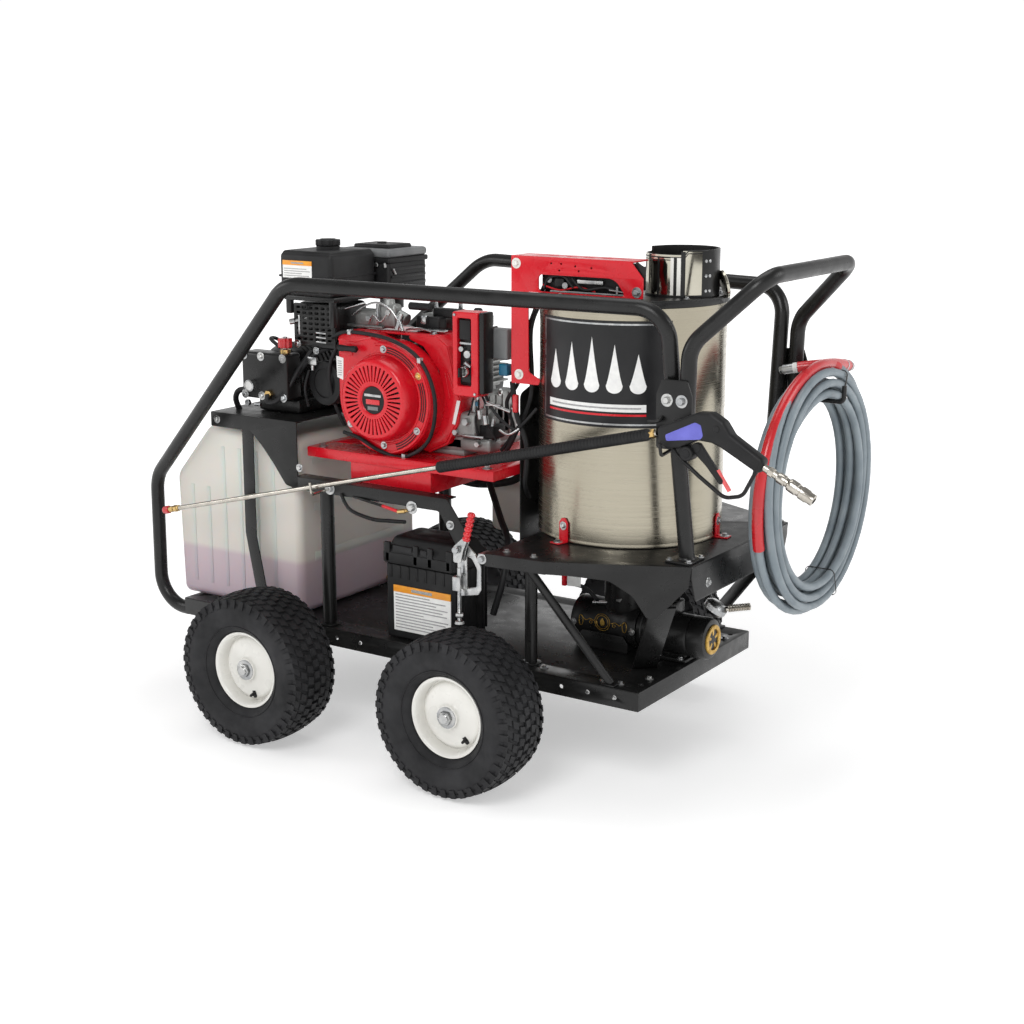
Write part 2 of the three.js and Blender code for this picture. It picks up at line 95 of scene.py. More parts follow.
def rod(a, b, radius, end=None, sides=24, chamfer=0.8):
    """A bar with chamfered ends, from one point to another; end is its radius there."""
    a, b = Vector(a), Vector(b)
    end, length = radius if end is None else end, (b - a).length
    c = min(chamfer, radius * 0.4, end * 0.4, length * 0.4)
    return turned([(0, 0), (radius - c, 0), (radius, c), (end, length - c), (end - c, length), (0, length)],
                  sides, a, b - a)


def rods(*rows):
    return [rod(*row) for row in rows]


def hexagon(a, b, radius):
    return rod(a, b, radius, sides=6)


def hexagons(*rows):
    return [hexagon(*row) for row in rows]


def smooth(points, closed=False, step=6.0):
    """A smooth curve through the points, with stations about step apart."""
    p = np.array(points, float)
    n = len(p)
    out = []
    for i in range(n if closed else n - 1):
        quad = [p[(i + k) % n] if closed else p[min(max(i + k, 0), n - 1)] for k in (-1, 0, 1, 2)]
        count = max(2, int(np.linalg.norm(quad[2] - quad[1]) / step))
        for k in range(count):
            t = k / count
            out.append(0.5 * (2 * quad[1] + (quad[2] - quad[0]) * t
                              + (2 * quad[0] - 5 * quad[1] + 4 * quad[2] - quad[3]) * t * t
                              + (3 * quad[1] - quad[0] - 3 * quad[2] + quad[3]) * t ** 3))
    return np.array(out if closed else out + [p[-1]])


def bent(corners, bends, step=6):
    """A tube's centreline: straight runs between corners, with round bends of the given radii."""
    c = [Vector(p) for p in corners]
    way = [(b - a).normalized() for a, b in zip(c, c[1:])]
    out = [c[0]]
    for i, radius in enumerate(bends, 1):
        turn = way[i - 1].angle(way[i])
        centre = c[i] + (way[i] - way[i - 1]).normalized() * radius / math.cos(turn / 2)
        start = c[i] - way[i - 1] * radius * math.tan(turn / 2) - centre
        axis = way[i - 1].cross(way[i]).normalized()
        count = max(3, round(math.degrees(turn) / step))
        out += [centre + Matrix.Rotation(turn * k / count, 3, axis) @ start for k in range(count + 1)]
    return np.array([list(p) for p in [*out, c[-1]]])


def sweep(points, radius, sides=16, closed=False, flat=1.0, up=None):
    """A round or oval tube along the points; radius is a number or one for each point."""
    p = np.array(points, float)
    n = len(p)
    radii = np.full(n, radius, float) if np.isscalar(radius) else np.array(radius, float)
    ahead = np.roll(p, -1, 0) - p
    if not closed:
        ahead[-1] = ahead[-2]
    ahead /= np.linalg.norm(ahead, axis=1)[:, None] + 1e-12
    behind = np.roll(ahead, 1, 0)
    if not closed:
        behind[0] = ahead[0]
    tangent = ahead + behind
    tangent /= np.linalg.norm(tangent, axis=1)[:, None]
    side = np.cross(tangent[0], (0, 0, 1) if up is None else up)
    if np.linalg.norm(side) < 1e-3:
        side = np.cross(tangent[0], (0, 1, 0))
    angles = 2 * np.pi * np.arange(sides) / sides
    verts = []
    for k in range(n):
        side = side - tangent[k] * (side @ tangent[k])
        side /= np.linalg.norm(side)
        other = np.cross(tangent[k], side)
        ring = np.cos(angles)[:, None] * side + flat * np.sin(angles)[:, None] * other
        verts.append(p[k] + radii[k] * ring)
    verts = np.concatenate(verts)
    faces = [(a * sides + k, a * sides + (k + 1) % sides, b * sides + (k + 1) % sides, b * sides + k)
             for a, b in [(i, (i + 1) % n) for i in range(n if closed else n - 1)] for k in range(sides)]
    if not closed:
        faces += [tuple(range(sides)), tuple(range(n * sides - 1, (n - 1) * sides - 1, -1))]
    return verts, faces


def tube(points, radius, sides=16):
    """A round tube on a smooth curve through the points."""
    return sweep(smooth(points), radius, sides)


def from_bmesh(bm):
    """Turns a bmesh into a shape and frees it."""
    bm.verts.ensure_lookup_table()
    verts = np.array([v.co[:] for v in bm.verts], float)
    faces = [tuple(v.index for v in f.verts) for f in bm.faces]
    bm.free()
    return verts, faces


def block(x0, x1, y0, y1, z0, z1, bevel=2.0, segments=2):
    """A box with rounded edges between the given limits."""
    bm = bmesh.new()
    bmesh.ops.create_cube(bm, size=1)
    size = Vector((abs(x1 - x0), abs(y1 - y0), abs(z1 - z0)))
    middle = Vector(((x0 + x1) / 2, (y0 + y1) / 2, (z0 + z1) / 2))
    for v in bm.verts:
        v.co = Vector(a * b for a, b in zip(v.co, size)) + middle
    bevel = min(bevel, min(size) * 0.45)
    if bevel > 0:
        bmesh.ops.bevel(bm, geom=bm.edges[:], offset=bevel, segments=segments, profile=0.5, affect="EDGES")
    return from_bmesh(bm)


def blocks(*rows):
    return [block(*row) for row in rows]


def slab(outline, thickness, bevel=0.8, holes=(), rounding=1):
    """A flat plate round Z = 0 with rounded edges; holes are outlines too."""
    curve = bpy.data.curves.new("slab", "CURVE")
    curve.dimensions, curve.fill_mode = "2D", "BOTH"
    curve.extrude, curve.offset = thickness / 2 - bevel, -bevel
    curve.bevel_depth, curve.bevel_resolution = bevel, rounding
    for ring, sign in [(outline, 1), *((h, -1) for h in holes)]:
        area = sum(a[0] * b[1] - b[0] * a[1] for a, b in zip(ring, [*ring[1:], ring[0]]))
        ring = ring if area * sign > 0 else ring[::-1]
        spline = curve.splines.new("POLY")
        spline.points.add(len(ring) - 1)
        for point, (x, y) in zip(spline.points, ring):
            point.co = (x, y, 0, 1)
        spline.use_cyclic_u = True
    obj = bpy.data.objects.new("slab", curve)
    mesh = bpy.data.meshes.new_from_object(obj)
    bm = bmesh.new()
    bm.from_mesh(mesh)
    bmesh.ops.remove_doubles(bm, verts=bm.verts[:], dist=0.02)
    bpy.data.objects.remove(obj)
    bpy.data.curves.remove(curve)
    bpy.data.meshes.remove(mesh)
    return from_bmesh(bm)


def standing(outline, y, thickness, bevel=0.8, holes=(), rounding=1):
    """A flat plate in an upright plane along X, with its middle at y."""
    return upright(slab(outline, thickness, bevel, holes, rounding), (0, y, 0))


def lying(outline, z, thickness, bevel=0.8, holes=(), rounding=1):
    """A flat plate in a level plane, with its middle at z."""
    return placed(slab(outline, thickness, bevel, holes, rounding), (0, 0, z))


def ring_of(x, y, radius, count=24):
    """A circle as an outline."""
    angles = [math.radians(360.0 * k / count) for k in range(count)]
    return [(x + radius * math.cos(a), y + radius * math.sin(a)) for a in angles]


def scalloped(radius, count):
    """The outline of a knob; radius is a function of the angle."""
    return [(radius(a) * math.cos(a), radius(a) * math.sin(a))
            for a in np.linspace(0, 2 * math.pi, count + 1)[:-1]]


def rounded(outline, radius, steps=5):
    """The outline with each corner rounded; radius is a number or one for each corner."""
    out = []
    n = len(outline)
    for i, corner in enumerate(outline):
        c, a, b = (Vector((*outline[k % n], 0)) for k in (i, i - 1, i + 1))
        r = radius[i] if isinstance(radius, (list, tuple)) else radius
        da, db = (a - c).normalized(), (b - c).normalized()
        half = da.angle(db) / 2
        reach = min(r / math.tan(half), 0.48 * (a - c).length, 0.48 * (b - c).length)
        r = reach * math.tan(half)
        if r < 0.05:
            out.append(tuple(corner))
            continue
        centre = c + (da + db).normalized() * r / math.sin(half)
        start, end = c + da * reach - centre, c + db * reach - centre
        turn = math.atan2(start.x * end.y - start.y * end.x, start.dot(end))
        for k in range(steps + 1):
            p = centre + Matrix.Rotation(turn * k / steps, 3, "Z") @ start
            out.append((p.x, p.y))
    return out


def oblong(x0, x1, y0, y1, radius):
    return rounded([(x0, y0), (x1, y0), (x1, y1), (x0, y1)], radius)


def bolt(at, axis, flats=13, washer=True):
    """A hexagon head with its washer, standing on a surface."""
    r = flats / math.sqrt(3)
    low = 1.4 if washer else 0
    head = lathe([(0, low), (r * 0.97, low), (r, low + 0.8), (r, low + flats * 0.42),
                  (r * 0.84, low + flats * 0.5), (0, low + flats * 0.52)], 6)
    shapes = [placed(head, at, axis)]
    if washer:
        shapes.append(turned([(0, 0), (flats, 0), (flats, 1), (flats - 0.5, 1.4), (0, 1.4)], 24, at, axis))
    return shapes


def bolts(places, axis, flats=13, washer=True):
    return [shape for at in places for shape in bolt(at, axis, flats, washer)]


class Piece:
    """Collects shapes, each in its own material, into one object that rides on a CAD body.

    slot is kept but not used, and nodes are the CAD nodes that it replaces.
    """

    def __init__(self, name, slot, *nodes, body="machine"):
        self.name, self.slot, self.nodes, self.body = name, slot, nodes, body
        self.verts, self.faces, self.index, self.materials, self.count = [], [], [], [], 0

    def add(self, material, *shapes):
        if material not in self.materials:
            self.materials.append(material)
        number = self.materials.index(material)
        for verts, faces in shapes:
            self.verts.append(verts)
            self.faces += [tuple(i + self.count for i in f) for f in faces]
            self.index += [number] * len(faces)
            self.count += len(verts)
        return self

    def done(self, angle=35):
        mesh = bpy.data.meshes.new(self.name)
        mesh.from_pydata((np.concatenate(self.verts) * 0.001).tolist(), [], self.faces)
        for material in self.materials:
            mesh.materials.append(material)
        mesh.polygons.foreach_set("material_index", self.index)
        bm = bmesh.new()
        bm.from_mesh(mesh)
        bmesh.ops.recalc_face_normals(bm, faces=bm.faces[:])
        bm.to_mesh(mesh)
        bm.free()
        mesh.shade_smooth()
        mesh.set_sharp_from_angle(angle=math.radians(angle))
        obj = bpy.data.objects.new(self.name, mesh)
        scene.collection.objects.link(obj)
        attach(obj, self.body)
        if self.nodes:
            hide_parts(*self.nodes)
        return obj


# ---- materials: procedural, in object space ----
class Look:
    """A material whose colour, roughness and bump vary over the surface."""

    def __init__(self, name, colour, roughness, metallic=0.0):
        self.material = bpy.data.materials.new(name)
        self.material.use_nodes = True
        self.tree = self.material.node_tree
        self.shader = self.tree.nodes["Principled BSDF"]
        self.shader.inputs["Base Color"].default_value = (*colour, 1)
        self.shader.inputs["Roughness"].default_value = roughness
        self.shader.inputs["Metallic"].default_value = metallic
        self.colour, self.roughness = colour, roughness
        self.place = self.tree.nodes.new("ShaderNodeTexCoord").outputs["Object"]
        self.normal = None

    def link(self, a, b):
        self.tree.links.new(a, b)

    def noise(self, scale, detail=3.0, stretch=None, rough=0.5):
        node = self.tree.nodes.new("ShaderNodeTexNoise")
        node.inputs["Scale"].default_value = scale
        node.inputs["Detail"].default_value = detail
        node.inputs["Roughness"].default_value = rough
        source = self.place
        if stretch:
            mapping = self.tree.nodes.new("ShaderNodeMapping")
            mapping.inputs["Scale"].default_value = stretch
            self.link(source, mapping.inputs["Vector"])
            source = mapping.outputs["Vector"]
        self.link(source, node.inputs["Vector"])
        return node.outputs["Fac"]

    def spread(self, value, low, high, start=0.3, end=0.7):
        node = self.tree.nodes.new("ShaderNodeMapRange")
        for socket, number in (("From Min", start), ("From Max", end), ("To Min", low), ("To Max", high)):
            node.inputs[socket].default_value = number
        self.link(value, node.inputs["Value"])
        return node.outputs["Result"]

    def ramp(self, value, *stops):
        node = self.tree.nodes.new("ShaderNodeValToRGB")
        elements = node.color_ramp.elements
        while len(elements) < len(stops):
            elements.new(0.5)
        for element, (at, colour) in zip(elements, stops):
            element.position, element.color = at, (*colour, 1)
        self.link(value, node.inputs["Fac"])
        return node.outputs["Color"]

    def height(self, bottom, top):
        """Runs from 0 at one height to 1 at another, in metres."""
        split = self.tree.nodes.new("ShaderNodeSeparateXYZ")
        self.link(self.place, split.inputs["Vector"])
        return self.spread(split.outputs["Z"], 0, 1, bottom, top)

    def mottle(self, other, scale=6.0, start=0.35, end=0.65, detail=4.0, stretch=None):
        """Base colour runs between its own colour and another one."""
        self.link(self.ramp(self.noise(scale, detail, stretch), (start, self.colour), (end, other)),
                  self.shader.inputs["Base Color"])
        return self

    def rough(self, low, high, scale=9.0, stretch=None, detail=3.0):
        self.link(self.spread(self.noise(scale, detail, stretch), low, high), self.shader.inputs["Roughness"])
        return self

    def bump(self, scale, strength, distance=0.0004, stretch=None, detail=2.0):
        node = self.tree.nodes.new("ShaderNodeBump")
        node.inputs["Strength"].default_value = strength
        node.inputs["Distance"].default_value = distance
        self.link(self.noise(scale, detail, stretch), node.inputs["Height"])
        if self.normal:
            self.link(self.normal, node.inputs["Normal"])
        self.normal = node.outputs["Normal"]
        self.link(self.normal, self.shader.inputs["Normal"])
        return self

    def gloss(self, **values):
        for name, value in values.items():
            self.shader.inputs[name.replace("_", " ")].default_value = value
        return self


BLACK = Look("black powder coat", (0.007, 0.007, 0.007), 0.3).mottle((0.012, 0.012, 0.012), 14).rough(
    0.24, 0.38, 30).bump(700, 0.1).bump(60, 0.04, 0.0006).gloss(Specular_IOR_Level=0.32).material
RED = Look("red powder coat", (0.6, 0.006, 0.016), 0.3).mottle(
    (0.55, 0.005, 0.014), 8).rough(
        0.2, 0.34, 24).bump(
            650, 0.1).gloss(Coat_Weight=0.2, Coat_Roughness=0.12, Specular_IOR_Level=0.35).material
RED_PLASTIC = Look("red plastic", (0.60, 0.012, 0.02), 0.28).mottle((0.48, 0.01, 0.015), 10).rough(
    0.22, 0.36, 18).bump(900, 0.08).gloss(Coat_Weight=0.3, Coat_Roughness=0.15).material
PINK = Look("coral plastic", (0.72, 0.12, 0.12), 0.4).mottle((0.62, 0.08, 0.08), 40).bump(900, 0.1).material
# Its base colour runs in broad vertical bands, which are painted reflection bands; the finely stretched
# roughness and bump are the brushing.
STAINLESS = Look("brushed stainless", (0.29, 0.262, 0.20), 0.3, 1.0).mottle(
    (0.37, 0.34, 0.27), 3, detail=6, stretch=(1, 1, 0.2)).rough(0.19, 0.30, 5, (1, 1, 60), 6).bump(
    60, 0.02, 0.0002, (1, 1, 40), 6).material
ZINC = Look("zinc plate", (0.52, 0.52, 0.51), 0.3, 1.0).mottle((0.36, 0.37, 0.38), 45).rough(
    0.2, 0.42, 60).bump(400, 0.1).material
ALLOY = Look("cast alloy", (0.36, 0.37, 0.36), 0.5, 0.9).mottle((0.24, 0.245, 0.24), 22, detail=8).rough(
    0.4, 0.65, 30).bump(320, 0.35, 0.0006).bump(40, 0.15, 0.001).material
CHROME = Look("bright sheet", (0.50, 0.475, 0.40), 0.1, 1.0).mottle((0.40, 0.38, 0.31), 9).rough(
    0.08, 0.16, 12).bump(25, 0.05, 0.0008).material
NICKEL = Look("nickel tube", (0.54, 0.51, 0.46), 0.22, 1.0).mottle((0.42, 0.39, 0.34), 30).rough(
    0.16, 0.3, 50).bump(300, 0.06).material
BRASS = Look("brass", (0.66, 0.47, 0.20), 0.28, 1.0).mottle((0.52, 0.34, 0.13), 35).rough(0.2, 0.4, 50).bump(
    300, 0.1).material
GOLD = Look("gold foil", (0.62, 0.4, 0.1), 0.35, 0.8).mottle(
    (0.42, 0.25, 0.05), 60).rough(0.25, 0.5, 60).material
PLASTIC = Look("black plastic", (0.008, 0.008, 0.0085), 0.48).mottle((0.013, 0.013, 0.0135), 18).rough(
    0.38, 0.56, 25).bump(1100, 0.2).gloss(Specular_IOR_Level=0.26).material
GREY_PLASTIC = Look("grey plastic", (0.16, 0.165, 0.165), 0.45).mottle((0.11, 0.115, 0.12), 10).rough(
    0.35, 0.55, 20).bump(1000, 0.2).material
TYRE = Look("tyre rubber", (0.01, 0.01, 0.011), 0.72).mottle(
    (0.022, 0.022, 0.024), 9, detail=8).rough(
        0.55, 0.85, 26, detail=6).bump(
            420, 0.4, 0.0005).bump(60, 0.15, 0.0008).gloss(Specular_IOR_Level=0.3).material
RUBBER = Look("black rubber", (0.009, 0.009, 0.010), 0.6).mottle((0.016, 0.016, 0.017), 25).rough(
    0.45, 0.7, 30).bump(700, 0.25).gloss(Specular_IOR_Level=0.28).material
HOSE = Look("grey hose cover", (0.22, 0.26, 0.285), 0.42).mottle((0.16, 0.195, 0.22), 16, detail=6).rough(
    0.34, 0.55, 26).bump(900, 0.22).material
WHITE = Look("white enamel", (0.78, 0.77, 0.73), 0.3).mottle(
    (0.7, 0.69, 0.65), 7).rough(
        0.22, 0.38, 20).bump(500, 0.08).gloss(Coat_Weight=0.3, Coat_Roughness=0.2).material
LABEL = Look("label paper", (0.80, 0.80, 0.78), 0.4).mottle((0.72, 0.72, 0.71), 70).bump(900, 0.1).material
ORANGE = Look("label orange", (0.80, 0.33, 0.02), 0.4).mottle((0.72, 0.27, 0.02), 60).bump(900, 0.1).material
PRINT = Look("label print", (0.18, 0.18, 0.18), 0.5).mottle((0.45, 0.45, 0.45), 900, detail=1).material
VIOLET = Look("violet insert", (0.13, 0.13, 0.52), 0.4).mottle((0.10, 0.10, 0.44), 30).bump(900, 0.1).material
BLUE = Look("blue connector", (0.005, 0.12, 0.20), 0.4).mottle((0.01, 0.08, 0.16), 50).bump(900, 0.1).material
GRAPHITE = Look("dark satin panel", (0.009, 0.009, 0.010), 0.34).mottle((0.014, 0.014, 0.015), 10).rough(
    0.28, 0.42, 16).bump(500, 0.06).gloss(Specular_IOR_Level=0.3).material


def poly_look():
    """Translucent moulded polyethylene, with the fuel showing through up to its level."""
    bottom, top = 0.277, 0.775
    made = Look("moulded polyethylene", (0.62, 0.60, 0.54), 0.45)
    wave = made.noise(7, 2, (1, 1, 0.15))
    level = made.ramp(made.height(bottom, top), (0.0, (0.44, 0.35, 0.40)), (0.28, (0.50, 0.40, 0.43)),
                      (0.31, (0.60, 0.56, 0.51)), (1.0, (0.68, 0.66, 0.60)))
    mix = made.tree.nodes.new("ShaderNodeMix")
    mix.data_type, mix.blend_type = "RGBA", "MULTIPLY"
    mix.inputs["Factor"].default_value = 0.5
    first, second, result = mix.inputs[6], mix.inputs[7], mix.outputs[2]  # its sockets for colours
    made.link(level, first)
    made.link(made.ramp(wave, (0.3, (0.86, 0.86, 0.88)), (0.7, (1, 1, 1))), second)
    made.link(result, made.shader.inputs["Base Color"])
    made.bump(30, 0.12, 0.002, (1, 1, 0.1)).bump(500, 0.1)
    return made.gloss(Subsurface_Weight=0.25, Subsurface_Scale=0.02).material


POLY = poly_look()

# ---- camera, light and floor ----
camera = bpy.data.objects.new("camera", bpy.data.cameras.new("camera"))
scene.collection.objects.link(camera)
camera.data.lens, camera.data.sensor_width = 59.2, 36
azimuth, elevation = math.radians(33.57), math.radians(13.32)
back = Vector((math.sin(azimuth) * math.cos(elevation), -math.cos(azimuth) * math.cos(elevation),
               math.sin(elevation)))
camera.location = (2.414, -3.618, 1.614)
camera.rotation_euler = (-back).to_track_quat("-Z", "Y").to_euler()
scene.camera = camera


def area_light(name, at, target, size, power):
    """A square lamp that points at a target."""
    light = bpy.data.lights.new(name, "AREA")
    light.shape, light.size, light.size_y, light.energy = "RECTANGLE", size, size, power
    obj = bpy.data.objects.new(name, light)
    obj.location = at
    obj.rotation_euler = (Vector(target) - Vector(at)).to_track_quat("-Z", "Y").to_euler()
    scene.collection.objects.link(obj)


area_light("key", (1.0, -3.4, 3.4), (0, 0, 0.6), 1.8, 75)
area_light("left fill", (-3.6, -2.2, 2.4), (-0.2, 0, 0.6), 1.6, 22)
area_light("right rim", (3.4, 1.4, 2.6), (0.3, 0, 0.7), 1.6, 30)
area_light("top", (-0.2, 0.4, 4.2), (0, 0, 0.5), 2.4, 40)


def studio_world():
    """White round the horizon and dimmer overhead, so that dark paint keeps its depth."""
    world = bpy.data.worlds.new("studio")
    world.use_nodes = True
    tree = world.node_tree
    split, level = tree.nodes.new("ShaderNodeSeparateXYZ"), tree.nodes.new("ShaderNodeMapRange")
    tree.links.new(tree.nodes.new("ShaderNodeTexCoord").outputs["Generated"], split.inputs["Vector"])
    for socket, number in (("From Min", 0.22), ("From Max", 0.5), ("To Min", 1.02), ("To Max", 0.32)):
        level.inputs[socket].default_value = number
    tree.links.new(split.outputs["Z"], level.inputs["Value"])
    tree.links.new(level.outputs["Result"], tree.nodes["Background"].inputs["Strength"])
    tree.nodes["Background"].inputs["Color"].default_value = (1, 1, 1, 1)
    return world


scene.world = studio_world()
scene.view_settings.view_transform = "Standard"


def floor_look():
    """Pale floor that turns into plain white with distance, so that it meets the background."""
    made = Look("pale floor", (0.80, 0.80, 0.80), 0.8).mottle((0.78, 0.78, 0.78), 2)
    reach = made.tree.nodes.new("ShaderNodeVectorMath")
    reach.operation = "LENGTH"
    made.link(made.place, reach.inputs[0])
    glow = made.spread(reach.outputs["Value"], low=0.42, high=1.0, start=1.0, end=5.0)  # from 1 to 5 m
    made.link(glow, made.shader.inputs["Emission Strength"])
    return made.gloss(Emission_Color=(1, 1, 1, 1), Specular_IOR_Level=0.1).material


bpy.ops.mesh.primitive_plane_add(size=160, location=(0, 0, 0))
floor = bpy.context.object
floor.name = "floor"
floor.data.materials.append(floor_look())

# ---- high-pressure hose: nine turns hung on the far bracket's hook ----
HOSE_AT, HOSE_R, HOSE_D = (772, 205, 703), 268, 21
CROSSING = 0.38  # the last part of each turn, in which the hose moves over to the next strand
STRANDS = [(-26, 24), (-26, 0), (-26, -25), (0, -25), (1, 0), (26, -25), (26, 0), (26, 24), (2, 39)]


def strand(turn):
    """Sideways and outward offset of the hose after that many turns, easing from strand to strand."""
    k = min(int(turn), len(STRANDS) - 1)
    nearby = STRANDS[min(k + 1, len(STRANDS) - 1)]
    t = min(max((turn - k - (1 - CROSSING)) / CROSSING, 0), 1)
    t = t * t * (3 - 2 * t)
    sway = 2.2 * math.sin(2 * math.pi * turn * 1.7), 2.0 * math.sin(2 * math.pi * turn * 2.3 + 1)
    return [a + (b - a) * t + s for a, b, s in zip(STRANDS[k], nearby, sway)]


EASE_FROM, EASE_OVER = 0.14, 0.42  # in turns


def coiled(turn):
    """The hose's centre after that many turns; it starts outside the bundle and eases in."""
    dx, dr = strand(turn)
    late = 1 - min(max((turn - EASE_FROM) / EASE_OVER, 0), 1)
    late = late * late * (3 - 2 * late)
    a, radius = 2 * math.pi * turn, HOSE_R + dr + 24 * late
    return HOSE_AT[0] + dx + 33 * late, HOSE_AT[1] + radius * math.sin(a), HOSE_AT[2] + radius * math.cos(a)


START_TURN, LAST_TURN = 0.15, 8.97
hose_line = list(
    smooth([(668, 243, 990), (700, 247, 997), (734, 257.5, 1003), (759, 278, 1005), (774, 306, 1001),
            (779, 337, 990), coiled(0.11), coiled(START_TURN)], step=8))[:-1]
hose_line += [np.array(coiled(turn)) for turn in np.arange(START_TURN, LAST_TURN, 1 / 48)]
tail = smooth([hose_line[-1], (773, 215, 1010), (771, 290, 1007), (770, 370, 996), (768, 428, 984)], step=8)
hose_line = np.array([*hose_line[:-1], *tail])
SHORTEST_STEP = 3
steps = np.linalg.norm(np.diff(hose_line, axis=0), axis=1)
hose_line = hose_line[np.concatenate([[True], steps > SHORTEST_STEP])]
along = np.concatenate([[0], np.cumsum(np.linalg.norm(np.diff(hose_line, axis=0), axis=1))])
hose_length = along[-1]

hose = Piece("pressure_hose", "hose_rubber", "hose_coil")
hose.add(HOSE, sweep(hose_line, HOSE_D / 2, 14))
hose = hose.done()


def stretch_of(start, end):
    """The part of the hose's line between two distances along it."""
    inside = (along > start) & (along < end)
    ends = [np.array([np.interp(s, along, hose_line[:, k]) for k in range(3)]) for s in (start, end)]
    return np.array([ends[0], *hose_line[inside], ends[1]])


fitting = Piece("hose_end_fitting", "zinc", "hose_fitting")
fitting.add(ZINC, sweep(stretch_of(0, 40), 12.6, 16), hexagon(hose_line[0] + (-9, -1, -2), hose_line[1], 11))
fitting.add(PLASTIC, rod(hose_line[0] + (-10, -1, -2.2), hose_line[0] + (-8.6, -1, -1.9), 6.5))
fitting.add(LABEL, sweep(stretch_of(26, 36), 13.4, 16))
fitting = fitting.done()

sleeves = Piece("hose_bend_sleeves", "red_powder_coat")
sleeves.add(RED_PLASTIC, sweep(stretch_of(38, 150), 14, 16),
            sweep(stretch_of(hose_length - 800, hose_length - 12), 14, 18))
sleeves = sleeves.done()
ending = Piece("hose_free_end", "zinc")
tip = stretch_of(hose_length - 30, hose_length)
ending.add(ZINC, sweep(tip, 12.4, 16),
           *[sweep(stretch_of(hose_length - s - 5, hose_length - s), 15, 16) for s in (16, 44)])
ending = ending.done()


def tie(name, turns, width=8):
    """A strap round the bundle of strands at an angle of the coil."""
    a = 2 * math.pi * turns
    out = np.array([0, math.sin(a), math.cos(a)])
    outline = oblong(-41, 41, -38, 38, 14)
    middle = np.array(HOSE_AT) + out * HOSE_R
    loop = smooth([middle + np.array([x, 0, 0]) * 0.97 + out * y for x, y in outline], closed=True, step=9)
    piece = Piece(name, "black_plastic")
    piece.add(PLASTIC, sweep(loop, width / 2, 8, closed=True, flat=0.3, up=out))
    return piece.done()


ties = [tie("hose_tie_top", 0.055), tie("hose_tie_low", 0.45, 5)]

# ---- frame: hoops, push handle and their brackets ----
def plate_with_holes(outline, thickness, holes=(), corner=3, bevel=0.8):
    """A plate with rounded corners; each hole is its middle and radius."""
    return slab(rounded(outline, corner), thickness, bevel, [ring_of(x, y, r, 16) for x, y, r in holes])


for name, side in (("near", -1), ("far", 1)):
    line = bent([(-905.3, side * 280, 240), (-1013, side * 280, 240), (-1009, side * 281, 613),
                 (-372, side * 438, 1203), (631, side * 308, 1190), (648.7, side * 216.7, 596.5)],
                [92, 90, 110, 78], 4)
    piece = Piece(f"side_hoop_{name}", "black_powder_coat", f"hoop_{name}")
    foot = slab(oblong(612, 678, side * 178, side * 262, 8), 5.4, 1)
    piece.add(BLACK, sweep(line, 18.7, 28), placed(foot, (0, 0, 598)),
              turned([(18, 0), (23, 0), (22.5, 2.5), (20, 5), (18, 8)], 28, (648.7, side * 217, 600)))
    piece.add(ZINC, *bolts([(x, side * y, 600.7) for x, y in
                            ((620, 190), (670, 190), (620, 250), (670, 250))], (0, 0, 1), 9))
    piece.done()

handle = Piece("push_handle_tube", "black_powder_coat", "push_handle")
handle.add(BLACK, sweep(bent([(677, -291, 935), (681, -291, 1110), (841, -234, 1268), (841, 234, 1268),
                              (681, 291, 1110), (677, 291, 935)], [80, 62, 62, 80], 4), 18.7, 28))
for side in (-1, 1):
    handle.add(PLASTIC, turned([(0, 0), (15, 0), (17, 2), (17, 6), (0, 6)], 24, (677, side * 291, 930)))
handle.done()

for name, side in (("near", -1), ("far", 1)):
    piece = Piece(f"handle_clamp_{name}", "black_powder_coat", f"handle_bracket_{name}")
    plate = plate_with_holes([(614, 876), (702, 876), (702, 1000), (690, 1035), (626, 1035), (612, 1000)], 5,
                             corner=6)
    piece.add(BLACK, upright(plate, (0, side * 313.5, 0)),
              block(628, 652, side * 299, side * 312, 950, 1000, 3), sweep(
                  bent([(640, side * 311, 1010), (640, side * 291, 1013), (636, side * 262, 1010)], [8]), 4,
                  10))
    piece.add(ZINC,
              *bolts([(x, side * 316, z) for x, z in ((677, 988), (640, 988), (677, 905))], (0, side, 0), 15))
    if side < 0:
        piece.add(BLACK, sweep(bent([(660, -312, 881), (660, -376, 873), (660, -384, 902)], [8]), 4, 12),
                  sweep(bent([(630, -312, 951), (628, -330, 940), (602, -334, 938)], [10]), 4, 12))
    else:
        piece.add(BLACK, block(698, 704, 222, 316, 905, 931, 1.5),
                  sweep(bent([(702, 236, 923.8), (834, 236, 923.8), (834, 236, 964)], [12]), 6, 14))
    piece.done()

# ---- base tray ----
base = Piece("base_tray", "black_powder_coat", "base_plate")
floor_holes = [(x, y, 6) for x in (-860, -430, 100, 545) for y in (-240, 240)]
base.add(BLACK, placed(plate_with_holes([(-905, -299), (571, -299), (571, 299), (-905, 299)], 4, floor_holes,
                                        corner=4, bevel=1.6), (0, 0, 274)))
flange_holes = [(x, 252, 5.5) for x in (-390, -350, -270, 250, 355, 430, 505)]
for side in (-1, 1):
    flange = plate_with_holes([(-905, 228), (571, 228), (571, 275), (-905, 275)], 4, flange_holes, corner=2)
    base.add(BLACK, upright(flange, (0, side * 297, 0)))
base.add(BLACK, *[block(x - 2, x + 2, -298, 298, 228, 275, 1.4) for x in (-903, 569)])
base.add(ZINC, *bolts([(x, -299, 252) for x in (250, 430, 505, -270)], (0, -1, 0), 8, washer=False),
         *bolts([(x, y, 276) for x, y in
                 ((235, -262), (282, -262), (500, -262), (540, -190), (455, -262), (548, 200), (250, 262))],
                (0, 0, 1), 11))
base.done()

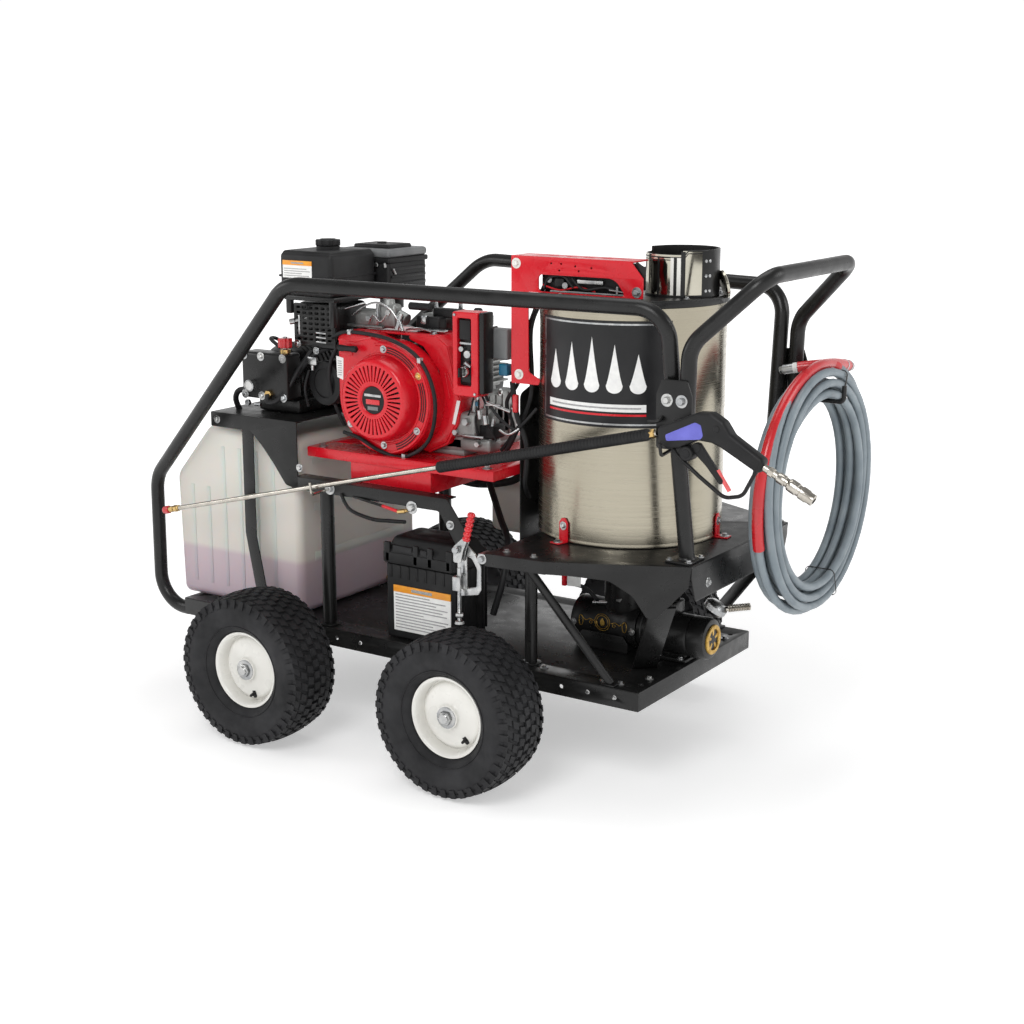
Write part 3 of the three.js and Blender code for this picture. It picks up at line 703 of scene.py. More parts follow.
# ---- upper deck, its skirts, gussets and legs ----
deck = Piece("tank_deck", "black_powder_coat", "upper_deck")
plan = [(215, -425), (378, -412), (686, -265), (686, 265), (378, 412), (215, 425)]
deck.add(BLACK, lying(rounded(plan, 4), 593, 4, 1.2, [ring_of(371, 0, 70, 40)]))
front_way, gusset_way = Vector((163, 13, 0)).normalized(), Vector((308, 147, 0)).normalized()
for side in (-1, 1):
    gusset = rounded([(0, 0), (341, 0), (334, -50), (258, -131), (238, -126), (205, -75), (150, -40),
                      (60, -32), (0, -30)], [1, 1, 6, 10, 8, 40, 50, 10, 1], 8)
    shapes = [upright(slab(oblong(0, 163.5, -31, 0, 1.2), 4, 0.8), (216, -423, 594.6), front_way),
              upright(slab(gusset, 4, 0.8), (378, -410, 594.6), gusset_way),
              placed(block(-31, 31, -3, 3, 0, 282, 1.2), (492, -130, 278), (136, -153, 227), (1, 0.9, 0)),
              rod((300, -395, 590), (484, -281, 280), 10.8), block(466, 502, -297, -268, 276.6, 280.5, 1),
              rod((236, -250, 278), (236, -250, 592), 15.7),
              placed(slab(ring_of(0, 0, 26, 28), 4, 1), (236, -250, 278.6))]
    deck.add(BLACK, *(shapes if side < 0 else [mirrored(s) for s in shapes]))
    deck.add(ZINC,
             *bolts([(x, side * y, 595) for x, y in ((655, 190), (250, 380), (330, 385))], (0, 0, 1), 10))
end = slab(rounded([(-263, 594), (263, 594), (263, 566), (240, 506), (-240, 506), (-263, 566)], 8), 4, 0.8)
deck.add(BLACK, upright(end, (684, 0, 0), (0, 1, 0)), block(214.8, 219, -422, 422, 564, 594, 1.2))
deck.add(ZINC, *bolts([(686, y, 540) for y in (-180, 180)], (1, 0, 0), 12))
deck.done()

# ---- brackets round the fuel tank, engine plate ----
for name, side in (("near", -1), ("far", 1)):
    piece = Piece(f"tank_frame_{name}", "black_powder_coat", f"tank_bracket_{name}")
    gusset = rounded([(-783, 822), (-783, 782), (-640, 782), (-600, 745), (-560, 700), (-520, 648),
                      (-478, 640), (-478, 822)], [3, 3, 10, 60, 60, 20, 3, 3], 8)
    strap = rounded([(-671, 790), (-671, 497), (-627, 276.5), (-587, 276.5), (-632, 490), (-632, 790)],
                    [1, 14, 1, 1, 14, 1])
    arm = rounded([(-500, 675), (-500, 641), (-16, 641), (40, 554), (66, 554), (66, 600), (10, 675)],
                  [2, 2, 16, 8, 4, 10, 14])
    piece.add(BLACK, standing(gusset, side * 288, 4, 0.8), standing(strap, side * 288.2, 3.4, 0.8),
              standing(arm, side * 287.7, 4, 0.8), *blocks(
                  (-490, 8, side * 246, side * 288, 671, 675, 1.2),
                  (-783, -480, side * 262, side * 288, 817.5, 821.8, 1.2)),
              rod((-398, side * 266, 276.6), (-398, side * 266, 671.5), 18.7),
              placed(slab(ring_of(0, 0, 30, 28), 4, 1), (-398, side * 266, 278.6)))
    for x, z, flats in ((-368, 656, 16), (-100, 640, 17), (20, 610, 12), (-470, 700, 11), (-760, 802, 11)):
        piece.add(ZINC, *bolt((x, side * 290, z), (0, side, 0), flats))
    if side < 0:
        piece.add(NICKEL,
                  sweep(bent([(-378, -290, 652), (-378, -352, 650), (-378, -358, 684)], [8]), 3.5, 12))
        piece.add(BLACK, tube([(-330, -291.5, 648), (-300, -293, 610), (-230, -293, 594), (-170, -292, 596),
                               (-120, -292, 600)], 5, 10))
        piece.add(BRASS, hexagon((-140, -296, 625), (-116, -296, 630), 6),
                  rod((-116, -296, 630), (-108, -296, 632), 4))
        piece.add(RED_PLASTIC, rod((-190, -296, 634), (-141, -296, 626), 4.4))
        piece.add(BLACK, tube([(-190, -296, 634), (-250, -294, 641), (-290, -288, 644)], 3.6, 10))
    else:
        shelf = slab([(-783, -284), (-482, -284), (-482, 156), (-731, 156), (-731, 226), (-482, 226),
                      (-482, 288), (-783, 288)], 4, 1)
        piece.add(BLACK, placed(shelf, (0, 0, 820)))
    piece.done()

plate = Piece("engine_tray", "red_powder_coat", "engine_plate")
slots = [rounded([(x - 26, y - 5), (x + 26, y - 5), (x + 26, y + 5), (x - 26, y + 5)], 4.9)
         for x in (-430, 60) for y in (-150, 150)]
plate.add(RED, lying(oblong(-480, 120, -245, 245, 6), 748, 4, 1.2, slots))
for side in (-1, 1):
    plate.add(RED, *blocks((-480, 120, side * 241, side * 245, 724, 749, 1.4),
                           (-335, -75, side * 238, side * 242, 668, 747, 1.4)))
plate.add(RED, *[block(x - 2, x + 2, -244, 244, 724, 749, 1.4) for x in (-478, 118)],
          *[block(x - 2, x + 2, -240, 240, 668, 747, 1.4) for x in (-333, -77)])
plate.add(ZINC, *bolts([(x, y, 750) for x in (-445, 85) for y in (-220, 220)], (0, 0, 1), 13))
plate.done()

# ---- wheels: turf tyres on dished rims ----
WHEEL_Y, AXLE_Z = 473.5, 203


def tyre_shapes():
    """The carcass, its bead rings, seven rows of tread blocks and the shoulder lugs, about Z."""
    half = [(103, 50), (106, 56), (112, 63), (128, 74), (148, 80), (166, 80.5), (180, 77), (189, 69),
            (194, 54), (195.5, 28)]
    profile = [(r, h) for r, h, _ in smooth([(r, h, 0) for r, h in half + [(196, 0)]
                                              + [(r, -h) for r, h in reversed(half)]], step=4)]
    shapes = [lathe(profile + [(103, -50), (100, -40), (100, 40)], 96, closed=True)]
    for h in (70, -70):
        shapes.append(lathe([(121 + 1.5 * math.cos(a), h + (1.5 + abs(h) / 70) * math.sin(a)) for a in
                             np.linspace(0, 2 * math.pi, 9)[:-1]], 96, closed=True))

    def crown(height):
        return 202.6 - 6.5 * (abs(height) / 66) ** 2.2

    count = 42
    for h0, h1, phase, skew in ((-9.5, 9.5, 0, 0), (13, 33, 0.5, 0.16), (-33, -13, 0.5, -0.16),
                                (36.5, 56, 0.0, 0.3), (-56, -36.5, 0.0, -0.3), (59, 76, 0.5, 0.3),
                                (-76, -59, 0.5, -0.3)):
        for k in range(count):
            a0 = (k + phase + skew) / count
            verts = []
            for inset, lift in ((0, -9), (0.045, 0)):
                for h, a in ((h0, 0), (h1, 0), (h1, 1), (h0, 1)):
                    lean = skew * 0.5 * (1 if h == h1 else -1) * (1 if h0 > 0 else -1)
                    angle = 2 * math.pi * (a0 + (inset + a * (0.7 - 2 * inset) + lean) / count)
                    height = h + (1.2 if h == h0 else -1.2) * (lift == 0)
                    r = crown(height) + lift
                    verts.append((r * math.cos(angle), r * math.sin(angle), height))
            shapes.append((np.array(verts), [(0, 1, 2, 3), (7, 6, 5, 4), (0, 4, 5, 1), (1, 5, 6, 2),
                                             (2, 6, 7, 3), (3, 7, 4, 0)]))
    for side in (-1, 1):
        for k in range(count):
            verts = []
            for r, h in ((194, 74), (172, 79), (194.5, 78.5), (173, 82.2)):
                for a in (0.05, 0.6):
                    angle = 2 * math.pi * (k + 0.5 + a) / count
                    verts.append((r * math.cos(angle), r * math.sin(angle), side * h))
            shapes.append((np.array(verts), [(0, 1, 3, 2), (4, 6, 7, 5), (0, 4, 5, 1), (2, 3, 7, 6),
                                             (0, 2, 6, 4), (1, 5, 7, 3)]))
    return shapes


TREAD = tyre_shapes()
RIM = lathe([(r, h) for r, h, _ in smooth(
    [(p[0], p[1], 0) for p in ((101.5, -54), (96, -53), (92, -46), (89, -30), (87, 0), (84, 22), (78, 29),
                               (70, 31), (50, 34.5), (36, 39), (31, 43), (29.5, 50), (26, 50.6))], step=3)] +
            [(22, 50), (22, 26), (34, 31), (50, 29.5), (78, 24), (88, 20), (91, 34), (92, 47), (96, 52.6),
             (98.5, 53.5), (101.5, 54), (102.3, 52), (101.8, 50), (99, 48), (98, 40), (97.5, -40),
             (101.5, -50)], 72, closed=True)
for end, x in (("front", -473), ("rear", 172)):
    for name, side in (("near", -1), ("far", 1)):
        body, at, out = (f"wheel_{end}_{name}", (x, side * WHEEL_Y, AXLE_Z), (0, side, 0))
        tyre = Piece(f"tyre_{end}_{name}_tread", "tyre_rubber", f"tyre_{end}_{name}", body=body)
        tyre.add(TYRE, *[placed(s, at, out) for s in TREAD]).done(28)
        rim = Piece(f"rim_{end}_{name}_disc", "white_paint", f"rim_{end}_{name}", body=body)
        rim.add(WHITE, placed(RIM, at, out))
        turn = math.radians(-52 if end == "rear" else -80)
        d = Vector((math.cos(turn), 0, math.sin(turn)))
        slot_at = Vector(at) + d * 68 + Vector((0, side * 31.2, 0))
        rim.add(RUBBER, placed(
            slab(rounded([(-13, -6), (13, -6), (13, 6), (-13, 6)], 5.9), 2.6, 0.8), slot_at, out, d),
                rod(slot_at, slot_at + Vector((0, side * 17, 0)) + d * 3, 4.6, 3.4))
        rim.done(40)
    axle = Piece(f"{end}_axle_bar", "zinc", f"{end}_axle")
    axle.add(BLACK, rod((x, -408, AXLE_Z), (x, 408, AXLE_Z), 12.4))
    for side in (-1, 1):
        axle.add(BLACK, rod((x, side * 410, AXLE_Z), (x, side * 423, AXLE_Z), 19.8),
                 block(x - 22, x + 22, side * 240, side * 280, 188, 271, 2))
        axle.add(ZINC, rod((x, side * 420, AXLE_Z), (x, side * 539.5, AXLE_Z), 12.3),
                 turned([(13, 0), (27, 0), (27, 2), (26, 2.6), (13, 2.6)], 32, (x, side * 524.2, AXLE_Z),
                        (0, side, 0)), turned([(11, 2.6), (16.5, 2.6), (18.5, 4), (18.5, 10), (16, 12),
                                               (11, 12)], 6, (x, side * 524.2, AXLE_Z), (0, side, 0)),
                 rod((x + 15.6, side * 537.4, AXLE_Z), (x - 15.6, side * 537.4, AXLE_Z), 1.6, sides=10))
    axle.done()

# ---- water heater: shell, label panel, feet, lid and flue ----
HEATER, FLUE = (371, 0, 0), (505, 0, 0)


def outward(degrees):
    return Vector((math.cos(math.radians(degrees)), math.sin(math.radians(degrees)), 0))


def round_axis(middle, radius, degrees, z):
    """The point at a height, a radius and an angle from an upright axis."""
    a = math.radians(degrees)
    return middle[0] + radius * math.cos(a), middle[1] + radius * math.sin(a), z


def curved_panel(r0, r1, a0, a1, z0, z1, steps=40, at=HEATER):
    """A piece of a cylinder's wall between two angles in degrees; heights may be functions of 0 to 1."""
    verts = []
    low, high = (z if callable(z) else (lambda t, z=z: z) for z in (z0, z1))
    for k in range(steps + 1):
        a = math.radians(a0 + (a1 - a0) * k / steps)
        z0, z1 = low(k / steps), high(k / steps)
        verts += [(at[0] + r * math.cos(a), at[1] + r * math.sin(a), z) for r, z in
                  ((r0, z0), (r1, z0), (r1, z1), (r0, z1))]
    faces = [(4 * k + i, 4 * k + (i + 1) % 4, 4 * k + 4 + (i + 1) % 4, 4 * k + 4 + i)
             for k in range(steps) for i in range(4)]
    return np.array(verts), [*faces, (0, 3, 2, 1), tuple(4 * steps + i for i in range(4))]


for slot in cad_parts["heating_coil"].material_slots:
    slot.material = NICKEL
tank = Piece("heater_shell", "stainless", "coil_tank")
tank.add(STAINLESS, turned([(75, 595.4), (229, 595.4), (231.6, 597), (231.9, 600), (230.4, 604), (230.2, 606),
                            (230.2, 1158), (230.4, 1160), (231.9, 1164), (231.9, 1171), (229, 1172),
                            (227, 1170), (226, 1160), (226, 600), (75, 600)], 160, HEATER, closed=True))
tank.add(STAINLESS, curved_panel(229.8, 231.2, 96, 104, 606, 1158, 6))
tank.add(ZINC, *[
    turned([(0, 0), (4, 0), (3.4, 1), (0, 1.6)], 14, round_axis(HEATER, 231.1, 100, z), outward(100)) for z in
    range(640, 1150, 50)])
tank.add(GRAPHITE, curved_panel(230, 231.2, -128, -37, 890, 1143))
for z0, z1, a0, a1 in ((896, 900, -126, -39), (1133, 1137, -126, -39), (896, 1137, -126, -125),
                       (896, 1137, -40, -39)):
    tank.add(ZINC, curved_panel(230.6, 231.8, a0, a1, z0, z1, 40 if a1 - a0 > 2 else 2))
tank.add(LABEL, curved_panel(230.6, 231.8, -119, -52, 928, 946))
tank.add(RED, curved_panel(230.6, 231.8, -119, -52, 918, 923))
tank.add(PRINT, curved_panel(231, 232.2, -116, -55, 935, 939))
for k, tall in enumerate((62, 84, 100, 84, 62)):
    tank.add(LABEL, curved_panel(
        230.6, 231.8, -118 + 14 * k, -108 + 14 * k, lambda t: 990 - 18 *
        math.sqrt(max(0.001, 1 - (2 * t - 1) ** 2)), lambda t, tall=tall: 990 + tall * (1 - abs(2 * t - 1)) **
        1.5 + 14 * (1 - (2 * t - 1) ** 2), 20))
tank.done()

feet = Piece("heater_feet", "red_powder_coat")
for a in (-104, 7, 66, 150):
    d = outward(a)
    side = Vector((-d.y, d.x, 0))
    at = Vector(HEATER) + d * 233.4
    foot = slab(rounded([(-15, 0), (15, 0), (15, 46), (6, 58), (-6, 58), (-15, 46)], 3), 3, 0.7)
    feet.add(RED, placed(foot, at + Vector((0, 0, 597)), d, side),
             placed(block(0, 34, -15, 15, -1.5, 1.5, 1), at + Vector((0, 0, 597)) - d * 1.5, (0, 0, 1), d))
    feet.add(ZINC, *bolt(at + d * 1.5 + Vector((0, 0, 636)), d, 11),
             *bolt(at + d * 20 + Vector((0, 0, 598.5)), (0, 0, 1), 12))
feet.done()

lid = Piece("heater_lid", "black_powder_coat", "tank_lid")
lid.add(BLACK,
        placed(slab(ring_of(0, 0, 235, 128), 6, 2, [ring_of(134, 0, 84, 48)], 2), (HEATER[0], 0, 1187)),
        turned([(232.5, 1172.6), (235.8, 1172.6), (236, 1180), (235, 1186), (229, 1188), (229, 1184)], 128,
               HEATER, closed=True))
lid.add(ZINC, *bolts([round_axis(HEATER, 215, a, 1190) for a in range(20, 340, 45)], (0, 0, 1), 8))
lid.done()

# ---- flue: a bent chrome sheet, open at the top, with a black heat shield behind ----
flue = Piece("flue", "chrome", "exhaust_stack")
flue.add(CHROME, curved_panel(85.5, 88.6, -186, -20, 1190.6, 1290, 56, FLUE))
flue.add(BLACK, curved_panel(84.5, 89.4, -20, 176, 1190.6, 1301.4, 60, FLUE),
         turned([(84.6, 0), (89.6, 0), (89.6, 5), (86, 6.2), (84.6, 6.2)], 72, (505, 0, 1190.5), closed=True))
rim = []
for k in range(-186, 177, 4):
    lift = 1284 + 15.5 * min(1, max(0, (k + 62) / 8)) if k < 150 else 1299.5 - 15.5 * (k - 150) / 26
    rim.append(round_axis(FLUE, 87.2, k, lift))
flue.add(BLACK, sweep(rim, 2.3, 10), sweep([(x, y, z - 6) for x, y, z in rim], 1.9, 8))
flue.add(CHROME, curved_panel(85.5, 88.6, -62, -30, 1288, 1299.5, 10, FLUE))
# The white and black stripes between -81 and -58 degrees are painted reflection bands on the chrome, drawn in
# the white enamel and black powder coat materials.
for material, a0, a1 in ((WHITE, -81, -76), (BLACK, -76, -71), (WHITE, -71, -65), (BLACK, -65, -58),
                         (GRAPHITE, -104, -101), (BLACK, -31, -20)):
    flue.add(material, curved_panel(88.2, 89.3, a0, a1, 1194, 1284 if a1 < -60 else 1298, 3, FLUE))
flue.add(GRAPHITE, turned([(0, 1193), (84, 1193), (84, 1196), (0, 1196)], 48, FLUE))
flue.add(ZINC, *[
    turned([(0, 0), (4, 0), (3.5, 1), (0, 1.8)], 14, round_axis(FLUE, 89, a, z), outward(a)) for a in
    (-24, -16) for z in (1205, 1240, 1275)])
flue.add(CHROME, turned([(0, 0), (30, 0), (34, 3), (34, 8), (31, 10), (0, 13)], 40, (596, 34, 1215),
                        (0.75, 0.6, 0.25)))
flue.done()

# ---- red control bracket with its window, box and wiring ----
bracket = Piece("control_panel", "red_powder_coat", "control_bracket")
front = rounded([(117, 962), (196, 962), (204, 975), (168, 992), (166, 1190), (486, 1190), (486, 1238),
                 (452, 1277), (117, 1277)], [3, 6, 8, 12, 2, 3, 4, 4, 3], 6)
window = rounded([(196, 1193), (196, 1234), (410, 1234), (440, 1193)], [10, 10, 40, 6], 8)
small = [ring_of(x, z, 2.6, 10) for x, z in
         ((232, 1262), (260, 1262), (300, 1258), (345, 1256), (255, 1246), (310, 1247))]
bracket.add(RED, standing(front, -158, 4, 0.8, [window, *small]))
top_slots = [oblong(205 + 50 * i, 232 + 50 * i, -128, -118, 4.5) for i in range(4)]
bracket.add(RED, lying(oblong(117, 458, -159, -82, 3), 1275, 4, 1.4, top_slots),
            block(115, 119, -158, -120, 965, 1276, 1.4))
for x, z in ((132, 1258), (470, 1205), (140, 985)):
    bracket.add(WHITE if x < 400 else ZINC, *bolt((x, -160, z), (0, -1, 0), 13))
bracket.add(BLACK, standing(rounded([(455, 1244), (488, 1205), (488, 1262), (462, 1277)], 3), -150, 3, 0.6))
bracket.done()
controls = Piece("control_case", "black_plastic", "control_box")
controls.add(PLASTIC, *blocks((192, 438, -140, -91, 1195, 1267, 6, 3), (236, 262, -150, -139, 1205, 1226, 3)))
controls.add(ZINC, *rods(((222, -152, 1221), (222, -140, 1221), 7), ((268, -155, 1210), (268, -140, 1210), 8),
                         ((240, -155, 1237), (240, -140, 1237), 3.5)),
             block(300, 372, -151, -141, 1216, 1226, 2),
             *rods(((390, -152, 1206), (430, -150, 1202), 2.5), ((412, -152, 1196), (412, -152, 1216), 2.5)))
controls.add(RUBBER, tube([(205, -148, 1200), (222, -152, 1226), (262, -152, 1232), (288, -149, 1205)], 3, 8),
             tube([(285, -148, 1228), (320, -152, 1203), (380, -150, 1210), (432, -146, 1198)], 3.4, 8))
controls.add(RED_PLASTIC,
             tube([(200, -146, 1208), (252, -150, 1198), (300, -147, 1207), (350, -148, 1199)], 2.2, 8))
controls.done()
knob = Piece("thermostat_dial", "black_plastic", "thermostat_knob", body="heat_knob")
ridged = scalloped(lambda a: 18 * (1 + 0.035 * math.cos(18 * a)), 144)
knob.add(PLASTIC, placed(slab(ridged, 12, 1.5, rounding=2), (300, -83.4, 1232), (0, 1, 0)))
knob.add(LABEL, block(299.2, 300.8, -77.4, -76.6, 1236, 1247, 0.2))
knob.done()

# ---- diesel tank: rounded moulding with ribs, filler cap and outlet ----
body = rounded([(-950, 278), (-501, 278), (-501, 774), (-829, 774), (-959, 624)], [24, 24, 34, 40, 46], 10)
fuel = Piece("fuel_tank", "white_poly", "diesel_tank")
shell = slab(body, 515, 22, rounding=6)
fuel.add(POLY, upright(shell, (0, 0, 0)))
for x in range(-900, -540, 60):
    fuel.add(POLY,
             *[block(x, x + 12, y, y + 1.6, 320, 720 if x > -840 else 600, 0.7, 2) for y in (-258.6, 257)])
fuel.add(POLY, *[block(-502.5, -499.6, -200, 200, z, z + 26, 1.2, 2) for z in (420, 560, 690)])
FILLER, slope = (-893, 0, 701), Vector((-151, 0, 131)).normalized()
fuel.add(POLY, turned([(26, -8), (32, -8), (32, 13), (30, 14), (26, 14)], 48, FILLER, slope, closed=True),
         turned([(34, -6), (52, -4), (52, 2), (34, 6)], 48, FILLER, slope, closed=True))
fuel.add(BRASS, hexagon((-501, 120, 300), (-478, 120, 300), 9), rod((-478, 120, 300), (-462, 120, 300), 6))
fuel.done()
cap = Piece("fuel_cap", "black_plastic", "diesel_cap", body="fuel_tank_cap")
grip = scalloped(lambda a: 42 * (1 - 0.05 * (math.cos(12 * a) > 0.5)), 144)
cap.add(PLASTIC, placed(slab(grip, 18, 2.5, rounding=3), Vector(FILLER) + slope * 23.6, slope),
        placed(block(-34, 34, -4, 4, 31, 33.8, 1.2), FILLER, slope))
cap.done()

# ---- battery box and lid ----
box = Piece("battery_case", "black_plastic", "battery_box")
walls = slab(oblong(-205, 15, -270, -120, 14), 196, 3, [oblong(-199, 9, -264, -126, 9)], 2)
box.add(PLASTIC, placed(walls, (0, 0, 378)), block(-201, 11, -266, -124, 277, 284, 2))
for x in range(-190, 10, 28):
    box.add(PLASTIC, *blocks((x, x + 8, -272, -268, 440, 474, 1.2), (x, x + 8, -122, -118, 300, 474, 1.2)))
for y in range(-255, -130, 28):
    box.add(PLASTIC, *blocks((-207, -203, y, y + 8, 300, 474, 1.2), (13, 17, y, y + 8, 300, 474, 1.2)))
box.add(LABEL, block(-176, 6, -272.4, -269.4, 300, 404, 0.5))
box.add(ORANGE, block(-176, 6, -273.4, -270.4, 404, 422, 0.5))
rows = [block(-170, -170 + w, -273, -271.6, z, z + 3, 0.3) for z, w in
        zip(range(308, 398, 8), (150, 166, 120, 160, 168, 90, 164, 150, 166, 130, 160, 110))]
box.add(PRINT, *rows, block(-118, -52, -274, -272.6, 409, 417, 1))
box.done()
cover = Piece("battery_cover", "black_plastic", "battery_lid", body="battery_cover")
rim = slab(oblong(-212, 22, -277, -113, 16), 30, 3, [oblong(-207, 17, -272, -118, 12)], 2)
cover.add(PLASTIC, placed(rim, (0, 0, 494)))
crown = []
for inset, z in ((0, 506), (3, 512), (14, 526), (20, 541), (26, 546.5), (34, 547.8)):
    crown.append([(x, y, z) for x, y in
                  oblong(-211 + inset, 21 - inset, -276 + inset, -114 - inset, 16 - inset * 0.2)])
count = len(crown[0])
verts = np.array([p for ring in crown for p in ring], float)
faces = [(a * count + k, a * count + (k + 1) % count, (a + 1) * count + (k + 1) % count, (a + 1) * count + k)
         for a in range(len(crown) - 1) for k in range(count)]
faces += [tuple(range(count))[::-1], tuple(range((len(crown) - 1) * count, len(crown) * count))]
cover.add(PLASTIC, (verts, faces), *[
    block(x0, x1, -277, -268, 482, 535, 3) for x0, x1 in ((-204, -184), (-110, -94), (-64, -48), (-6, 14))])
cover.add(GRAPHITE, *blocks((-180, -116, -272.5, -264, 494, 528, 4, 3), (-90, -68, -273, -266, 490, 526, 3)))
cover.add(PLASTIC, block(-150, -40, -220, -170, 545, 548, 1.2))
cover.done()

# ---- burner drum with its cradle, and the motor ----
BURNER_Z = 338
burner = Piece("burner_drum", "black_powder_coat", "burner")
burner.add(BLACK, turned([(0, 0), (50, 0), (57, 4), (58.8, 9), (58.8, 40), (57.6, 42), (57.6, 150),
                          (58.8, 152), (58.8, 186), (56, 192), (0, 194)], 72, (229, 0, BURNER_Z), (1, 0, 0)),
           turned([(0, 338), (46, 372), (54, 392), (54, 560), (55.8, 562), (55.8, 589), (0, 589)], 56,
                  (363, 0, 0)), *blocks((262, 396, -44, 44, 276.6, 282, 2), (262, 268, -44, 44, 280, 320, 2),
                                        (390, 396, -44, 44, 280, 320, 2)))
cradle = slab(rounded([(-74, 0), (74, 0), (74, 26), (60, 44), (-60, 44), (-74, 26)], 5), 4, 1)
burner.add(BLACK, upright(cradle, (329, -58, 277)), upright(cradle, (329, 58, 277)))


def oval_line(x, y, z, wide, tall, count, width, full_turn=2 * math.pi):
    """A thin raised line round an oval in an upright plane."""
    angles = np.linspace(0, full_turn, count + 1)[:-1]
    return sweep([(x + wide * math.cos(a), y, z + tall * math.sin(a)) for a in angles], width, 6, closed=True)


ROUGH_TURN, MID = 6.283, 329
ornament = [oval_line(MID, -59.6, 350, r, r, 40, 1.0) for r in (22, 17)]
for s in (-1, 1):
    ornament += [tube([(MID + s * 26, -59.5, 350), (MID + s * 38, -59.2, 354), (MID + s * 50, -59, 348),
                       (MID + s * 62, -58.6, 358)], 1.0, 6),
                 oval_line(MID + s * 34, -59.6, 345, 4, 4, 16, 0.8, ROUGH_TURN),
                 oval_line(MID + s * 64, -58.4, 346, 6, 14, 20, 1.0, ROUGH_TURN)]
drop = [(0, 12), (6, 2), (7, -4), (4, -9), (0, -11), (-4, -9), (-7, -4), (-6, 2)]
ornament.append(upright(slab(rounded(drop, 2), 1.2, 0.4), (329, -59.5, 350)))
burner.add(GOLD, *ornament)
burner.add(ZINC, *bolts([(x, -58, BURNER_Z) for x in (242, 414)], (0, -1, 0), 9),
           hexagon((372, -30, 402), (372, -52, 418), 9), rod((290, -40, 392), (340, -40, 400), 5))
burner.add(LABEL, upright(slab(oblong(-18, 18, -28, 28, 2), 1.5, 0.4), (262, -90, 470), (1, 0.25)))
burner.add(RED, block(228, 240, -96, -60, 440, 505, 2))
burner.add(RUBBER,
           tube([(300, -30, 395), (270, -50, 430), (235, -80, 450), (225, -90, 500), (230, -60, 560)], 5, 10))
burner.done()
motor = Piece("burner_fan_motor", "black_powder_coat", "burner_motor")
motor.add(BLACK, turned([(0, 0), (53.8, 0), (53.8, 10), (51, 12), (51, 60), (53.4, 62), (53.4, 132),
                         (50, 138), (53.6, 142), (53.6, 178), (50, 186), (40, 189), (0, 189)], 72,
                        (423.3, 0, BURNER_Z), (1, 0, 0)), *blocks(
                            (470, 562, -46, 46, 276.6, 286, 2), (478, 554, -30, 30, 284, 300, 3),
                            (440, 520, -28, 28, 388, 424, 6, 3)))
motor.add(GOLD, turned([(26, 0), (38, 0), (38, 4), (36, 6), (27, 6), (26, 4)], 56, (611.5, 0, BURNER_Z),
                       (1, 0, 0), closed=True), *[
                           placed(slab(rounded([(-3, 10), (3, 10), (5, 26), (-5, 26)], 1), 3, 0.8),
                                  (613.5, 0, BURNER_Z), (1, 0, 0), (0, math.cos(a), math.sin(a))) for a in
                           np.linspace(0, 2 * math.pi, 6)[:-1]])
motor.add(GRAPHITE, turned([(0, 0), (26, 0), (26, 2), (0, 4)], 40, (611.5, 0, BURNER_Z), (1, 0, 0)))
motor.add(ZINC, *bolts([(x, y, 286) for x in (485, 545) for y in (-40, 40)], (0, 0, 1), 10),
          turned([(0, 0), (24, 0), (30, 8), (30, 22), (20, 30), (0, 32)], 40, (590, 40, 395),
                 (0.5, 0.2, 0.85)))
barb = [(0, 0)] + [(r, 4 * i + d) for i in range(14) for r, d in ((10.5, 0), (8, 3.6))] + [(0, 58)]
motor.add(NICKEL, turned(barb, 28, (624, 60, 405), (0.85, 0.5, 0.12)), rod((596, 44, 402), (626, 61, 405), 6))
motor.add(RUBBER, tube([(500, 20, 424), (505, 60, 470), (470, 110, 520), (420, 130, 560)], 7, 12))
motor.done()

# ---- parking brake: a push-pull toggle clamp over the rear tyre ----
mount = Piece("brake_bracket", "zinc", "brake_mount")
frame_plate = rounded([(136, 476), (196, 488), (204, 500), (204, 560), (186, 590), (160, 612), (136, 612)],
                      [3, 3, 6, 12, 12, 4, 4], 6)
eye = rounded([(163, 501), (191, 507), (193, 552), (178, 576), (163, 580)], [3, 4, 12, 12, 3], 5)
mount.add(ZINC, standing(frame_plate, -420.8, 5, 1, [eye]), *blocks(
    (196, 214.6, -424, -386, 568, 592, 2), (139, 161, -450, -444, 497, 532, 2),
    (139, 161, -428, -422, 497, 532, 2), (139, 143, -450, -422, 497, 532, 1.5)),
          rod((150, -452, 599), (150, -421, 599), 4.8), *bolt((208, -424, 580), (0, -1, 0), 13),
          turned([(0, 0), (9, 0), (8, 3), (0, 4)], 20, (150, -452, 599), (0, -1, 0)))
mount.done()
foot = Piece("brake_spindle", "zinc", "brake_plunger", body="brake_foot")
thread = [(0, 419), *[(r, z) for k in range(24) for r, z in ((4.9, 420 + 3 * k), (4.2, 421.5 + 3 * k))],
          (5, 494), (5, 552), (0, 552.6)]
foot.add(ZINC, turned(thread, 24, (150, -436, 0)),
         turned([(0, 430), (9.5, 430), (10, 431), (10, 438), (9.5, 439), (0, 439)], 6, (150, -436, 0)),
         turned([(0, 410.7), (10, 410.7), (12, 413), (10, 419), (6, 421), (0, 421)], 28, (150, -436, 0)))
foot.done()
lever = Piece("brake_handle_lever", "red_powder_coat", "brake_lever", body="brake_handle")
link = slab(rounded([(138, 566), (160, 566), (166, 596), (178, 622), (164, 628), (138, 604)], 5), 3, 0.8,
            [ring_of(150, 599, 5.4, 20)])
lever.add(ZINC, upright(link, (0, -442.2, 0)), upright(link, (0, -429.8, 0)),
          *rods(((149, -444, 575), (149, -428, 575), 4), ((169, -444, 616), (169, -428, 616), 5)))
start, stop = Vector((170, -436, 620)), Vector((187.6, -436, 690.5))
beads = [(0, 0)]
for k in range(6):
    beads += [(6.8, 12.4 * k + 0.8), (9.7, 12.4 * k + 4), (9.7, 12.4 * k + 8.6), (6.8, 12.4 * k + 12)]
